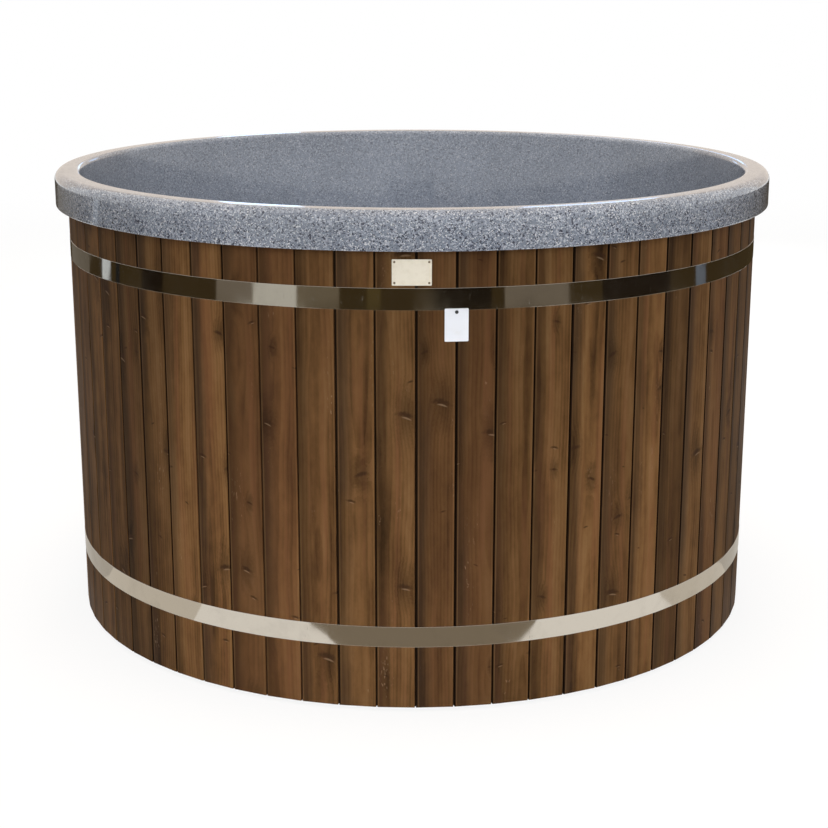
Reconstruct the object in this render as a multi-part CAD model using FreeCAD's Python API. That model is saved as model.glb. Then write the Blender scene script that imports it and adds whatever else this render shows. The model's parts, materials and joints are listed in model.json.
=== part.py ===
import FreeCAD, Part
import math
import os

Vec = FreeCAD.Vector
os.makedirs("parts", exist_ok=True)

# Tub body. Millimetres, heights above the ground.
stave_outer_radius = 869.0
stave_count = 63
stave_thickness = 21.0
stave_ground_gap = 8.0
overall_height = 1128.0

# Moulded shell.
shell_wall = 7.0
rim_overhang = 31.0
rim_lip_height = 85.0
rim_outer_round = 22.0
rim_inner_round = 12.0
lip_edge_round = 2.5
wall_draft = 4.5
bench_height = 548.0
bench_wall_round = 45.0
bench_edge_round = 35.0
footwell_radius = 480.0
footwell_draft = 4.0
footwell_round = 60.0
sump_radius = 78.0
sump_depth = 6.0
pad_radius = 62.0

# Stave section.
stave_edge_round = 2.6
tongue_thickness = 5.5
tongue_reach = 7.0
croze_depth = 6.0

# Steel bands. The drops here and below are measured from the top of the rim.
band_height = 47.5
band_thickness = 1.0
upper_band_drop = 190.6
lower_band_level = 176.7
band_gap = 24.0
lug_length = 28.0
lug_thickness = 3.0
lug_height = 40.0
lug_rise = 27.0
bolt_radius = 4.0
bolt_rise = 16.0
bolt_flats = 13.0
bolt_head = 5.3
nut_length = 6.5
washer_radius = 8.0
washer_thickness = 1.6
rivet_radius = 2.5

# Plate and tag on the front.
plate_width = 84.0
plate_height = 55.5
plate_drop = 133.2
plate_offset = -7.9
plate_thickness = 1.2
plate_screw_inset = 5.5
plate_screw_radius = 1.2
tag_width = 51.0
tag_height = 71.0
tag_thickness = 0.8
tag_peg_drop = 218.0
tag_top_margin = 7.5
peg_radius = 1.9
peg_depth = 18.0

# Base.
runner_height = 45.0
runner_width = 95.0
runner_spacing = 300.0
runner_end_gap = 10.0
deck_thickness = 18.0
insulation_thickness = 60.0
post_width = 45.0
post_circle = 635.0
post_count = 8
deck_screw_radius = 2.5
deck_screw_length = 50.0

# Drain.
drain_hole_radius = 37.0
drain_flange_radius = 62.0
drain_cup_radius = 48.0
drain_cup_wall = 4.0
drain_cup_flange = 8.0
cup_foot = 1.0
drain_gasket_thickness = 2.0
drain_socket_radius = 24.0
drain_socket_end = 90.0
drain_socket_stop = 56.0
drain_pipe_radius = 20.0
drain_pipe_wall = 2.5
strainer_thickness = 4.0
clamp_screw_circle = 55.0
strainer_screw_circle = 46.0
wall_flange_radius = 38.0
wall_flange_thickness = 5.0
wall_flange_screw_circle = 30.0
wood_screw_radius = 1.75
wood_screw_length = 20.0

# Drain valve, a quarter-turn ball valve.
valve_stand_off = 8.0
valve_socket_length = 26.0
valve_body_radius = 31.0
ball_radius = 22.0
ball_bore = 15.0
seat_width = 12.0
stem_radius = 6.0
neck_radius = 13.0
neck_rise = 44.0
lever_length = 95.0
lever_width = 18.0
lever_thickness = 8.0
outlet_radius = 21.0
outlet_length = 28.0

# Heater connections, the upper one above the bench and the lower one above the footwell floor.
supply_rise = 132.0
return_rise = 150.0
spigot_radius = 30.0
spigot_step = 0.5
spigot_wall = 4.0
spigot_length = 60.0
fitting_flange_radius = 50.0
fitting_flange = 6.0
fitting_gasket = 2.0
locknut_radius = 42.0
locknut_length = 12.0
collar_radius = 39.5
collar_thickness = 6.0
grille_thickness = 4.0
grille_slot = 5.0
grille_screw_circle = 40.0
coupling_length = 36.0

# Clearances shared by the pieces that meet.
stave_gap = 0.4
groove_clear = 0.6
croze_clear = 0.3
wall_clear = 3.0
loose = 0.4
screw_clear = 0.1
running = 0.05
pipe_clear = 0.2
hole_clear = 1.0
ball_clear = 0.25
seal_thickness = 6.0
tag_clear = 0.1

# Derived sizes.
pitch = 360.0 / stave_count
half_pitch = math.radians(pitch / 2)
stave_inner_radius = stave_outer_radius - stave_thickness
stave_half = stave_inner_radius * math.tan(half_pitch) - stave_gap / 2
rim_outer_radius = stave_outer_radius + rim_overhang
rim_inner_radius = stave_inner_radius - wall_clear - shell_wall
stave_top = overall_height - shell_wall - seal_thickness
deck_top = runner_height + deck_thickness
deck_radius = stave_inner_radius + croze_depth - 2 * croze_clear
floor_under = deck_top + insulation_thickness
floor_level = floor_under + shell_wall
bench_under = bench_height - shell_wall
upper_band_level = overall_height - upper_band_drop
plate_level = overall_height - plate_drop
tag_peg_level = overall_height - tag_peg_drop
supply_level = bench_height + supply_rise
return_level = floor_level + return_rise
rear = (stave_count // 2 + 0.5) * pitch
tension_side = (stave_count // 2 - 4 + 0.5) * pitch
band_face = stave_outer_radius + band_thickness
tail_radius = spigot_radius + spigot_step
cup_low = deck_top + cup_foot
drain_level = cup_low + drain_cup_wall * 0.3 + drain_socket_radius


def rod(radius, x0, x1, y=0.0, z=0.0):
    return Part.makeCylinder(radius, x1 - x0, Vec(x0, y, z), Vec(1, 0, 0))


def cross_rod(radius, y0, y1, x, z):
    return Part.makeCylinder(radius, y1 - y0, Vec(x, y0, z), Vec(0, 1, 0))


def disc(radius, z0, z1, x=0.0, y=0.0):
    return Part.makeCylinder(radius, z1 - z0, Vec(x, y, z0))


def tube(outer, inner, x0, x1, y=0.0, z=0.0):
    return rod(outer, x0, x1, y, z).cut(rod(inner, x0 - 1, x1 + 1, y, z))


def block(x0, x1, y0, y1, z0, z1):
    return Part.makeBox(x1 - x0, y1 - y0, z1 - z0, Vec(x0, y0, z0))


# Pieces are drawn facing +X and turned to an angle measured from the front, -Y, toward +X.
def facing(shape, angle):
    turned = shape.copy()
    turned.rotate(Vec(0, 0, 0), Vec(0, 0, 1), angle - 90)
    return turned


def group(shapes):
    return Part.makeCompound(shapes)


def hexagon(flats, length, base, axis):
    radius = flats / math.sqrt(3)
    corners = [math.radians(60 * i) for i in range(7)]
    points = [Vec(radius * math.cos(a), radius * math.sin(a), 0) for a in corners]
    nut = Part.Face(Part.makePolygon(points)).extrude(Vec(0, 0, length))
    nut.Placement = FreeCAD.Placement(base, FreeCAD.Rotation(Vec(0, 0, 1), axis))
    return nut


def round_plate(width, height, corner, x0, x1, z):
    plate = block(x0, x1, -width / 2, width / 2, z - height / 2, z + height / 2)
    edges = [e for e in plate.Edges if abs(e.BoundBox.XLength - (x1 - x0)) < 1e-6]
    return plate.makeFillet(corner, edges)


# A pan-head screw along +X whose head sits on the face at x.
def pan_screw(radius, head, rise, x, length, y=0.0, z=0.0):
    cap = rod(head, x, x + rise, y, z)
    rim = [e for e in cap.Edges if abs(e.BoundBox.XMin - x - rise) < 1e-6]
    return cap.makeFillet(rise * 0.6, rim).fuse(rod(radius, x - length, x, y, z)).removeSplitter()


def edge_line(a, b):
    return Part.LineSegment(Vec(a[0], 0, a[1]), Vec(b[0], 0, b[1])).toShape()


def edge_arc(centre, radius, start, end):
    spots = []
    for angle in (start, (start + end) / 2, end):
        turn = math.radians(angle)
        spots.append(Vec(centre[0] + radius * math.cos(turn), 0, centre[1] + radius * math.sin(turn)))
    return Part.Arc(spots[0], spots[1], spots[2]).toShape()


def on_circle(centre, radius, angle):
    turn = math.radians(angle)
    return (centre[0] + radius * math.cos(turn), centre[1] + radius * math.sin(turn))


# Radius of the drafted basin wall's water face at a height.
rim_centre = (rim_inner_radius + rim_inner_round, overall_height - rim_inner_round)
wall_start = on_circle(rim_centre, rim_inner_round, 180 - wall_draft)


def wall_radius(z):
    return wall_start[0] - (wall_start[1] - z) * math.tan(math.radians(wall_draft))


def footwell_wall(z):
    return footwell_radius - (bench_height - z) * math.tan(math.radians(footwell_draft))


def shell_profile():
    outer_centre = (rim_outer_radius - rim_outer_round, overall_height - rim_outer_round)
    draft = math.radians(wall_draft)
    bench_z = bench_height + bench_wall_round
    contact_z = bench_z - bench_wall_round * math.sin(draft)
    bench_end = (wall_radius(contact_z), contact_z)
    bench_centre = (bench_end[0] - bench_wall_round * math.cos(draft), bench_z)
    well_draft = math.radians(footwell_draft)
    drop = bench_edge_round * (1 - math.sin(well_draft))
    well_start = (footwell_wall(bench_height - drop), bench_height - drop)
    edge_centre = (
        well_start[0] + bench_edge_round * math.cos(well_draft),
        bench_height - bench_edge_round,
    )
    knee_z = floor_level + footwell_round
    knee_contact = knee_z - footwell_round * math.sin(well_draft)
    knee = (footwell_wall(knee_contact), knee_contact)
    knee_centre = (knee[0] - footwell_round * math.cos(well_draft), knee_z)
    sump_edge = (sump_radius + sump_depth, floor_level)
    sump_floor = (sump_radius, floor_level - sump_depth)
    return Part.Wire([
        edge_line((rim_outer_radius, overall_height - rim_lip_height), (rim_outer_radius, outer_centre[1])),
        edge_arc(outer_centre, rim_outer_round, 0, 90),
        edge_line((outer_centre[0], overall_height), (rim_centre[0], overall_height)),
        edge_arc(rim_centre, rim_inner_round, 90, 180 - wall_draft),
        edge_line(wall_start, bench_end),
        edge_arc(bench_centre, bench_wall_round, -wall_draft, -90),
        edge_line((bench_centre[0], bench_height), (edge_centre[0], bench_height)),
        edge_arc(edge_centre, bench_edge_round, 90, 180 - footwell_draft),
        edge_line(well_start, knee),
        edge_arc(knee_centre, footwell_round, -footwell_draft, -90),
        edge_line((knee_centre[0], floor_level), sump_edge),
        edge_line(sump_edge, sump_floor),
        edge_line(sump_floor, (drain_hole_radius, sump_floor[1])),
    ]), bench_centre[0], edge_centre[0], knee_centre[0]


nodes = {}

# Heater connection pads, flat on both sides of the drafted walls.
pad_slope = pad_radius * math.tan(math.radians(max(wall_draft, footwell_draft)))
well_bow = pad_radius ** 2 / (2 * footwell_wall(return_level))
supply_in = wall_radius(supply_level) - pad_slope - 1.5
supply_out = wall_radius(supply_level) + shell_wall + pad_slope + 1.5
return_in = footwell_wall(return_level) - max(pad_slope, well_bow) - 2.0
return_out = footwell_wall(return_level) + shell_wall + pad_slope + 1.5
spigot_hole = tail_radius + loose

# Shell: the profile thickened to one wall and turned about the tub's axis.
profile, bench_outer, bench_inner, floor_flat = shell_profile()
shell = profile.makeOffset2D(shell_wall, 2, True, True).revolve(Vec(0, 0, 0), Vec(0, 0, 1), 360)
lip_z = overall_height - rim_lip_height
lip = [e for e in shell.Edges if e.BoundBox.ZMax < lip_z + 0.01 and e.BoundBox.XMax > stave_outer_radius]
shell = shell.makeFillet(lip_edge_round, lip)
shell = shell.fuse(facing(rod(pad_radius, supply_in, supply_out, 0, supply_level), rear))
shell = shell.fuse(facing(rod(pad_radius, return_in, return_out, 0, return_level), rear))
shell = shell.cut(facing(rod(spigot_hole, supply_in - 20, supply_out + 20, 0, supply_level), rear))
shell = shell.cut(facing(rod(spigot_hole, return_in - 20, return_out + 20, 0, return_level), rear))
sump_level = floor_level - sump_depth
sump_under = sump_level - shell_wall
clamp_screws = [(clamp_screw_circle, 45 + 90 * i) for i in range(4)]
for circle, angle in clamp_screws:
    spot = on_circle((0, 0), circle, angle)
    shell = shell.cut(disc(deck_screw_radius + screw_clear, sump_under - 5, sump_level + 5, *spot))
nodes["tub_shell"] = shell.removeSplitter()

# Seal strip between the stave tops and the underside of the rim.
seal_out = stave_outer_radius - 2.0
seal_in = stave_inner_radius + 4.0
seal = disc(seal_out, stave_top, stave_top + seal_thickness)
nodes["rim_seal"] = seal.cut(disc(seal_in, stave_top - 1, stave_top + seal_thickness + 1))


# Staves: one tongue and groove board, copied round the tub.
def stave_section():
    inner = stave_inner_radius
    outer = stave_outer_radius
    half = stave_half
    soft = stave_edge_round
    tongue_in = inner + croze_depth + 2.0
    tongue_out = tongue_in + tongue_thickness
    tilt = tongue_reach * math.sin(math.radians(pitch))
    groove_in = tongue_in - groove_clear
    groove_out = tongue_out + tilt + groove_clear
    reach = half + tongue_reach
    depth = tongue_reach - half
    slant = soft * math.sqrt(0.5)

    def point(x, y):
        return Vec(x, y, 0)

    first = [
        point(outer - soft, -half),
        point(groove_out, -half),
        point(groove_out, depth),
        point(groove_in, depth),
        point(groove_in, -half),
        point(inner, -half),
        point(inner, half),
        point(tongue_in, half),
        point(tongue_in, reach),
        point(tongue_out, reach),
        point(tongue_out, half),
        point(outer - soft, half),
    ]
    edges = [Part.LineSegment(a, b).toShape() for a, b in zip(first, first[1:])]
    for side in (1, -1):
        start = point(outer - soft, side * half)
        middle = point(outer - soft + slant, side * (half - soft + slant))
        end = point(outer, side * (half - soft))
        edges.append(Part.Arc(start, middle, end).toShape())
    edges.append(Part.LineSegment(point(outer, half - soft), point(outer, soft - half)).toShape())
    return Part.Face(Part.Wire(Part.sortEdges(edges)[0]))


board = stave_section().extrude(Vec(0, 0, stave_top - stave_ground_gap))
board.translate(Vec(0, 0, stave_ground_gap))
board = board.cut(block(
    stave_inner_radius - 5, stave_inner_radius + croze_depth,
    -stave_half - 5, stave_half + tongue_reach + 5,
    runner_height - croze_clear, deck_top + croze_clear,
))

tag_angle = pitch
plate_angle = math.degrees(plate_offset / stave_outer_radius)
plate_in = stave_outer_radius / math.cos(half_pitch) - 0.15
plate_out = plate_in + plate_thickness
plate_screws = []
for across in (-1, 1):
    for up in (-1, 1):
        arc = across * (plate_width / 2 - plate_screw_inset)
        level = plate_level + up * (plate_height / 2 - plate_screw_inset)
        plate_screws.append((plate_angle + math.degrees(arc / plate_in), level))
flange_spots = [
    (wall_flange_screw_circle * math.sin(a), drain_level + wall_flange_screw_circle * math.cos(a))
    for a in (0.0, 2 * math.pi / 3, 4 * math.pi / 3)
]

service = stave_count // 2
boards = []
for i in range(stave_count):
    stave = board
    if i == service:
        for radius, level in (
            (drain_pipe_radius, drain_level),
            (tail_radius, return_level),
            (tail_radius, supply_level),
        ):
            bore = rod(radius + hole_clear, stave_inner_radius - 20, stave_outer_radius + 20, 0, level)
            stave = stave.cut(bore)
        for y, z in flange_spots:
            pilot = wood_screw_length - wall_flange_thickness + 0.5
            start = stave_outer_radius - pilot
            stave = stave.cut(rod(wood_screw_radius + screw_clear, start, stave_outer_radius + 5, y, z))
    stave = facing(stave, (i + 0.5) * pitch)
    if i in (0, 1):
        start = stave_outer_radius - peg_depth - 0.5
        hole = rod(peg_radius + running, start, stave_outer_radius + 10, 0, tag_peg_level)
        stave = stave.cut(facing(hole, tag_angle))
    if i in (0, stave_count - 1):
        for angle, level in plate_screws:
            hole = rod(plate_screw_radius + screw_clear, stave_outer_radius - 14, plate_out, 0, level)
            stave = stave.cut(facing(hole, angle))
    boards.append(stave)
panel_count = 7
for n in range(panel_count):
    members = [
        b for i, b in enumerate(boards)
        if i * panel_count // stave_count == n and i != service
    ]
    nodes["staves_%d" % (n + 1)] = group(members)

# The service stave is in three lengths, so that the one round a pipe can be taken out.
low_cut = (lower_band_level + band_height / 2 + return_level - collar_radius) / 2
high_cut = (return_level + supply_level) / 2
far = stave_outer_radius + 100
for name, low, high in (
    ("service_stave_low", -10.0, low_cut - stave_gap / 2),
    ("service_stave_middle", low_cut + stave_gap / 2, high_cut - stave_gap / 2),
    ("service_stave_high", high_cut + stave_gap / 2, overall_height),
):
    nodes[name] = boards[service].common(block(-far, far, 0, far, low, high))


# Bands: flat across each stave, bent at each seam, open between the tension lugs.
def band_ring(level):
    def polygon(apothem):
        radius = apothem / math.cos(half_pitch)
        turns = [math.radians(i * pitch - 90) for i in range(stave_count)]
        points = [Vec(radius * math.cos(t), radius * math.sin(t), level - band_height / 2) for t in turns]
        return Part.Face(Part.makePolygon(points + points[:1])).extrude(Vec(0, 0, band_height))

    ring = polygon(band_face).cut(polygon(stave_outer_radius))
    gap = block(
        stave_outer_radius - 10, band_face + 10, -band_gap / 2, band_gap / 2,
        level - band_height, level + band_height,
    )
    return ring.cut(facing(gap, tension_side))


lugs = []
rivets = []
bolts = []
washers = []
nuts = []
half_gap = band_gap / 2
bolt_x = band_face + bolt_rise
for name, level in (("upper_band", upper_band_level), ("lower_band", lower_band_level)):
    ring = band_ring(level)
    for side in (-1, 1):
        near = half_gap * side
        far = (half_gap + lug_length) * side
        ear = (half_gap + lug_thickness) * side
        low = level - lug_height / 2
        high = level + lug_height / 2
        foot = block(band_face, band_face + lug_thickness, min(near, far), max(near, far), low, high)
        wing = block(band_face, band_face + lug_rise, min(near, ear), max(near, ear), low, high)
        lug = foot.fuse(wing).removeSplitter()
        corners = [
            e for e in lug.Edges
            if e.BoundBox.YLength > lug_thickness - 0.01 and e.BoundBox.YLength < lug_thickness + 0.01
            and e.BoundBox.XMin > band_face + lug_rise - 0.01
        ]
        lug = lug.makeFillet(lug_height * 0.2, corners)
        hole_reach = half_gap + lug_length
        lug = lug.cut(cross_rod(bolt_radius + 2 * screw_clear, -hole_reach, hole_reach, bolt_x, level))
        for up in (-1, 1):
            y = side * (half_gap + lug_thickness + (lug_length - lug_thickness) / 2)
            z = level + up * lug_height * 0.28
            hole = rod(rivet_radius + screw_clear / 2, stave_outer_radius - 5, band_face + 20, y, z)
            lug = lug.cut(hole)
            ring = ring.cut(facing(hole, tension_side))
            head = pan_screw(
                rivet_radius, rivet_radius * 1.8, rivet_radius * 0.8,
                band_face + lug_thickness, lug_thickness + band_thickness, y, z,
            )
            rivets.append(facing(head, tension_side))
        lugs.append(facing(lug, tension_side))
        washer_in = half_gap + lug_thickness
        washer = cross_rod(washer_radius, 0, washer_thickness, bolt_x, level)
        hole = cross_rod(bolt_radius + 2 * screw_clear, -1, washer_thickness + 1, bolt_x, level)
        washer = washer.cut(hole)
        washer.translate(Vec(0, washer_in if side > 0 else -washer_in - washer_thickness, 0))
        washers.append(facing(washer, tension_side))
    reach = half_gap + lug_thickness + washer_thickness
    head = hexagon(bolt_flats, bolt_head, Vec(bolt_x, -reach - bolt_head, level), Vec(0, 1, 0))
    shank = cross_rod(bolt_radius, -reach, reach + nut_length + bolt_radius, bolt_x, level)
    bolts.append(facing(head.fuse(shank).removeSplitter(), tension_side))
    nut = hexagon(bolt_flats, nut_length, Vec(bolt_x, reach, level), Vec(0, 1, 0))
    nut = nut.cut(cross_rod(bolt_radius + screw_clear, reach - 1, reach + nut_length + 1, bolt_x, level))
    nuts.append(facing(nut, tension_side))
    nodes[name] = ring
nodes["band_lugs"] = group(lugs)
nodes["band_rivets"] = group(rivets)
nodes["band_bolts"] = group(bolts)
nodes["band_washers"] = group(washers)
nodes["band_nuts"] = group(nuts)

# Plate: a thin curved sheet lying on the stave faces, with a pin in each corner.
sheet = disc(plate_out, plate_level - plate_height, plate_level + plate_height)
sheet = sheet.cut(disc(plate_in, plate_level - plate_height - 1, plate_level + plate_height + 1))
outline = round_plate(plate_width, plate_height, 2.0, stave_outer_radius - 20, plate_out + 20, plate_level)
plate = facing(outline, plate_angle).common(sheet)
pins = []
for angle, level in plate_screws:
    hole = rod(plate_screw_radius + screw_clear, plate_in - 10, plate_out + 10, 0, level)
    plate = plate.cut(facing(hole, angle))
    pin = pan_screw(plate_screw_radius, 2.4, 1.0, plate_out, 13.0, 0, level)
    pins.append(facing(pin, angle))
nodes["name_plate"] = plate
nodes["name_plate_pins"] = group(pins)

# Tag: a card on a peg in a seam, just clear of the band's bend there.
tag_back = band_face / math.cos(half_pitch) + loose
tag_front = tag_back + tag_thickness
tag_centre = tag_peg_level + tag_top_margin - tag_height / 2
card = round_plate(tag_width, tag_height, 2.0, tag_back, tag_front, tag_centre)
card = card.cut(rod(peg_radius + tag_clear, tag_back - 5, tag_front + 5, 0, tag_peg_level))
nodes["hang_tag"] = facing(card, tag_angle)
peg_face = tag_front + loose
peg = pan_screw(
    peg_radius, peg_radius * 2, peg_radius * 0.9, peg_face,
    peg_face - stave_outer_radius + peg_depth, 0, tag_peg_level,
)
nodes["tag_peg"] = facing(peg, tag_angle)

# Base: runners under a round deck whose edge sits in the stave crozes.
runner_reach = stave_inner_radius - runner_end_gap
deck_holes = []
deck_screws = []
runners = []
for n in range(5):
    x = (n - 2) * runner_spacing
    half_length = math.sqrt(runner_reach ** 2 - (abs(x) + runner_width / 2) ** 2)
    runner = block(x - runner_width / 2, x + runner_width / 2, -half_length, half_length, 0, runner_height)
    lanes = (-0.25, 0.25) if n == 2 else (0.0,)
    for lane in lanes:
        for along in (-0.75, 0.0, 0.75):
            spot = (x + lane * runner_width, along * half_length)
            tip = deck_top - deck_screw_length
            hole = disc(deck_screw_radius + screw_clear, tip - 0.5, deck_top + 1, *spot)
            top = deck_screw_radius * 2
            sink = Part.makeCone(
                deck_screw_radius, top, top - deck_screw_radius,
                Vec(spot[0], spot[1], deck_top - top + deck_screw_radius),
            )
            deck_holes.append(hole.fuse(Part.makeCone(
                deck_screw_radius + screw_clear, top + screw_clear, top - deck_screw_radius,
                Vec(spot[0], spot[1], deck_top - top + deck_screw_radius),
            )))
            runner = runner.cut(hole)
            screw = disc(deck_screw_radius, tip, deck_top - 1, *spot).fuse(sink)
            deck_screws.append(screw.removeSplitter())
    runners.append(runner)
deck = disc(deck_radius, runner_height, deck_top)
for hole in deck_holes:
    deck = deck.cut(hole)
far = deck_radius + 10
nodes["base_deck_left"] = deck.cut(block(-loose / 2, far, -far, far, 0, deck_top + 10))
nodes["base_deck_right"] = deck.cut(block(-far, loose / 2, -far, far, 0, deck_top + 10))
for n, runner in enumerate(runners):
    nodes["base_runner_%d" % (n + 1)] = runner
nodes["deck_screws"] = group(deck_screws)

# Insulation and bench posts between the deck and the shell.
foam = disc(floor_flat - 4, deck_top, floor_under)
foam = foam.cut(disc(sump_radius + sump_depth + shell_wall + 5, deck_top - 1, floor_under + 1))
trench = block(
    0, stave_inner_radius, -drain_socket_radius - 4, drain_socket_radius + 4, deck_top - 1, floor_under + 1,
)
nodes["floor_insulation"] = foam.cut(facing(trench, rear))
foam_low = bench_height + bench_wall_round + 5
foam_high = lip_z - 40
skin = shell_wall / math.cos(math.radians(wall_draft)) + loose
foam_points = [
    Vec(wall_radius(foam_low) + skin, 0, foam_low),
    Vec(stave_inner_radius - loose, 0, foam_low),
    Vec(stave_inner_radius - loose, 0, foam_high),
    Vec(wall_radius(foam_high) + skin, 0, foam_high),
]
foam = Part.Face(Part.makePolygon(foam_points + foam_points[:1])).revolve(Vec(0, 0, 0), Vec(0, 0, 1), 360)
cut_out = rod(pad_radius + 4, rim_inner_radius * 0.8, stave_outer_radius, 0, supply_level)
nodes["wall_insulation"] = foam.cut(facing(cut_out, rear))
posts = []
for n in range(post_count):
    half = post_width / 2
    post = block(post_circle - half, post_circle + half, -half, half, deck_top, bench_under)
    posts.append(facing(post, rear + (n + 0.5) * 360 / post_count))
nodes["bench_posts"] = group(posts)

# Drain: a cup clamped under the sump by the ring above it, with a strainer on top.
gasket_top = sump_under
cup_top = gasket_top - drain_gasket_thickness
cup = disc(drain_cup_radius, cup_low, cup_top)
cup = cup.fuse(disc(drain_flange_radius, cup_top - drain_cup_flange, cup_top))
cup = cup.fuse(facing(rod(drain_socket_radius, 0, drain_socket_end, 0, drain_level), rear))
cup = cup.cut(disc(drain_cup_radius - drain_cup_wall, cup_low + drain_cup_wall, cup_top + 1))
fit = drain_pipe_radius + pipe_clear
bore = drain_pipe_radius - drain_pipe_wall
cup = cup.cut(facing(rod(fit, drain_socket_stop, drain_socket_end + 1, 0, drain_level), rear))
cup = cup.cut(facing(rod(bore, 0, drain_socket_stop + 1, 0, drain_level), rear))
gasket = disc(drain_flange_radius, cup_top, gasket_top)
gasket = gasket.cut(disc(drain_cup_radius - drain_cup_wall, cup_top - 1, gasket_top + 1))
ring_top = sump_level + sump_depth
clamp = disc(drain_flange_radius, sump_level, ring_top)
clamp = clamp.cut(disc(drain_hole_radius, sump_level - 1, ring_top + 1))
screws = []
head_rise = deck_screw_radius
tip = cup_top - drain_cup_flange
for circle, angle in clamp_screws:
    spot = on_circle((0, 0), circle, angle)
    hole = disc(deck_screw_radius + screw_clear, tip - 5, ring_top + 5, *spot)
    base = Vec(spot[0], spot[1], ring_top - head_rise)
    sink = Part.makeCone(
        deck_screw_radius + screw_clear, 2 * deck_screw_radius + screw_clear, head_rise, base,
    )
    head = Part.makeCone(deck_screw_radius, 2 * deck_screw_radius, head_rise, base)
    cup = cup.cut(hole)
    gasket = gasket.cut(hole)
    clamp = clamp.cut(hole).cut(sink)
    screws.append(head.fuse(disc(deck_screw_radius, tip, ring_top - head_rise, *spot)).removeSplitter())
strainer = disc(drain_flange_radius - 1, ring_top, ring_top + strainer_thickness)
rim = [e for e in strainer.Edges if e.BoundBox.ZMin > ring_top + strainer_thickness - 0.01]
strainer = strainer.makeFillet(strainer_thickness * 0.6, rim)
strainer = strainer.cut(disc(3.0, ring_top - 1, ring_top + strainer_thickness + 1))
for circle, count in ((11.0, 6), (20.5, 12), (30.0, 18)):
    for i in range(count):
        spot = on_circle((0, 0), circle, 360.0 * i / count)
        strainer = strainer.cut(disc(3.0, ring_top - 1, ring_top + strainer_thickness + 1, *spot))
strainer_screws = []
for angle in (0, 180):
    spot = on_circle((0, 0), strainer_screw_circle, angle)
    hole = disc(2.0 + screw_clear, sump_level - 1, ring_top + strainer_thickness + 1, *spot)
    clamp = clamp.cut(hole)
    strainer = strainer.cut(hole)
    head = disc(3.6, ring_top + strainer_thickness, ring_top + strainer_thickness + 2.0, *spot)
    rim = [e for e in head.Edges if e.BoundBox.ZMin > ring_top + strainer_thickness + 1.9]
    head = head.makeFillet(1.2, rim)
    strainer_screws.append(
        head.fuse(disc(2.0, sump_level + 0.5, ring_top + strainer_thickness, *spot)).removeSplitter()
    )
nodes["drain_cup"] = cup.removeSplitter()
nodes["drain_gasket"] = gasket
nodes["drain_clamp_ring"] = clamp
nodes["drain_clamp_screws"] = group(screws)
nodes["drain_strainer"] = strainer
nodes["strainer_screws"] = group(strainer_screws)

# Drain pipe through the service stave, with a flange screwed to the stave.
flange_face = stave_outer_radius + wall_flange_thickness
valve_start = flange_face + valve_stand_off
socket_stop = valve_start + valve_socket_length
pipe = tube(drain_pipe_radius, bore, drain_socket_stop + loose, socket_stop - loose, 0, drain_level)
nodes["drain_pipe"] = facing(pipe, rear)
flange = tube(wall_flange_radius, fit, stave_outer_radius, flange_face, 0, drain_level)
rim = [
    e for e in flange.Edges
    if e.BoundBox.XMin > flange_face - 0.01 and e.BoundBox.YLength > 2 * wall_flange_radius - 1
]
flange = flange.makeFillet(wall_flange_thickness * 0.5, rim)
flange_screws = []
for y, z in flange_spots:
    hole = rod(wood_screw_radius + screw_clear, stave_outer_radius - 5, flange_face + 5, y, z)
    flange = flange.cut(hole)
    screw = pan_screw(wood_screw_radius, 3.5, 2.2, flange_face, wood_screw_length, y, z)
    flange_screws.append(facing(screw, rear))
nodes["drain_wall_flange"] = facing(flange, rear)
nodes["wall_flange_screws"] = group(flange_screws)

# Ball valve: body, seats, end cap, and the ball, stem and lever that turn as one.
ball_x = socket_stop + 2 + 2 + ball_radius + 6
chamber = ball_radius + 2 * ball_clear + pipe_clear
seat_start = ball_radius + 2.0
chamber_end = ball_x + seat_start
body_end = chamber_end + 12
body = rod(drain_socket_radius + 3, valve_start, socket_stop + 10, 0, drain_level)
body = body.fuse(rod(valve_body_radius, socket_stop, body_end, 0, drain_level))
body = body.removeSplitter()
step = [e for e in body.Edges if abs(e.BoundBox.XMin - socket_stop) < 0.01 and e.BoundBox.XLength < 0.01]
step = [e for e in step if e.BoundBox.ZLength > 2 * valve_body_radius - 1]
body = body.makeFillet(3.0, step)
neck_top = drain_level + neck_rise
body = body.fuse(disc(neck_radius, drain_level, neck_top, ball_x)).removeSplitter()
body = body.cut(rod(fit, valve_start - 1, socket_stop, 0, drain_level))
body = body.cut(rod(ball_bore, socket_stop - 1, ball_x, 0, drain_level))
body = body.cut(rod(chamber, ball_x - seat_start, body_end + 1, 0, drain_level))
body = body.cut(disc(stem_radius + running, drain_level, neck_top + 1, ball_x))
cap = rod(chamber - screw_clear, chamber_end, body_end, 0, drain_level)
cap = cap.fuse(rod(valve_body_radius, body_end, body_end + 9, 0, drain_level))
outlet_end = body_end + 9 + outlet_length
cap = cap.fuse(rod(outlet_radius, body_end + 9, outlet_end, 0, drain_level))
cap = cap.cut(rod(ball_bore, chamber_end - 1, outlet_end + 1, 0, drain_level)).removeSplitter()
tip = [e for e in cap.Edges if e.BoundBox.XMin > outlet_end - 0.01]
cap = cap.makeChamfer(1.5, [e for e in tip if e.BoundBox.ZLength > 2 * outlet_radius - 1])
hollow = Part.makeSphere(ball_radius + ball_clear, Vec(ball_x, 0, drain_level))
seats = []
for side in (-1, 1):
    near = ball_x + side * seat_start
    far = ball_x + side * (seat_start - seat_width)
    ring = tube(chamber - pipe_clear, ball_bore + 0.5, min(near, far), max(near, far), 0, drain_level)
    seats.append(facing(ring.cut(hollow), rear))
ball = Part.makeSphere(ball_radius, Vec(ball_x, 0, drain_level))
ball = ball.cut(cross_rod(ball_bore, -ball_radius - 1, ball_radius + 1, ball_x, drain_level))
slot_depth = (ball_radius - ball_bore) * 0.7
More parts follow.
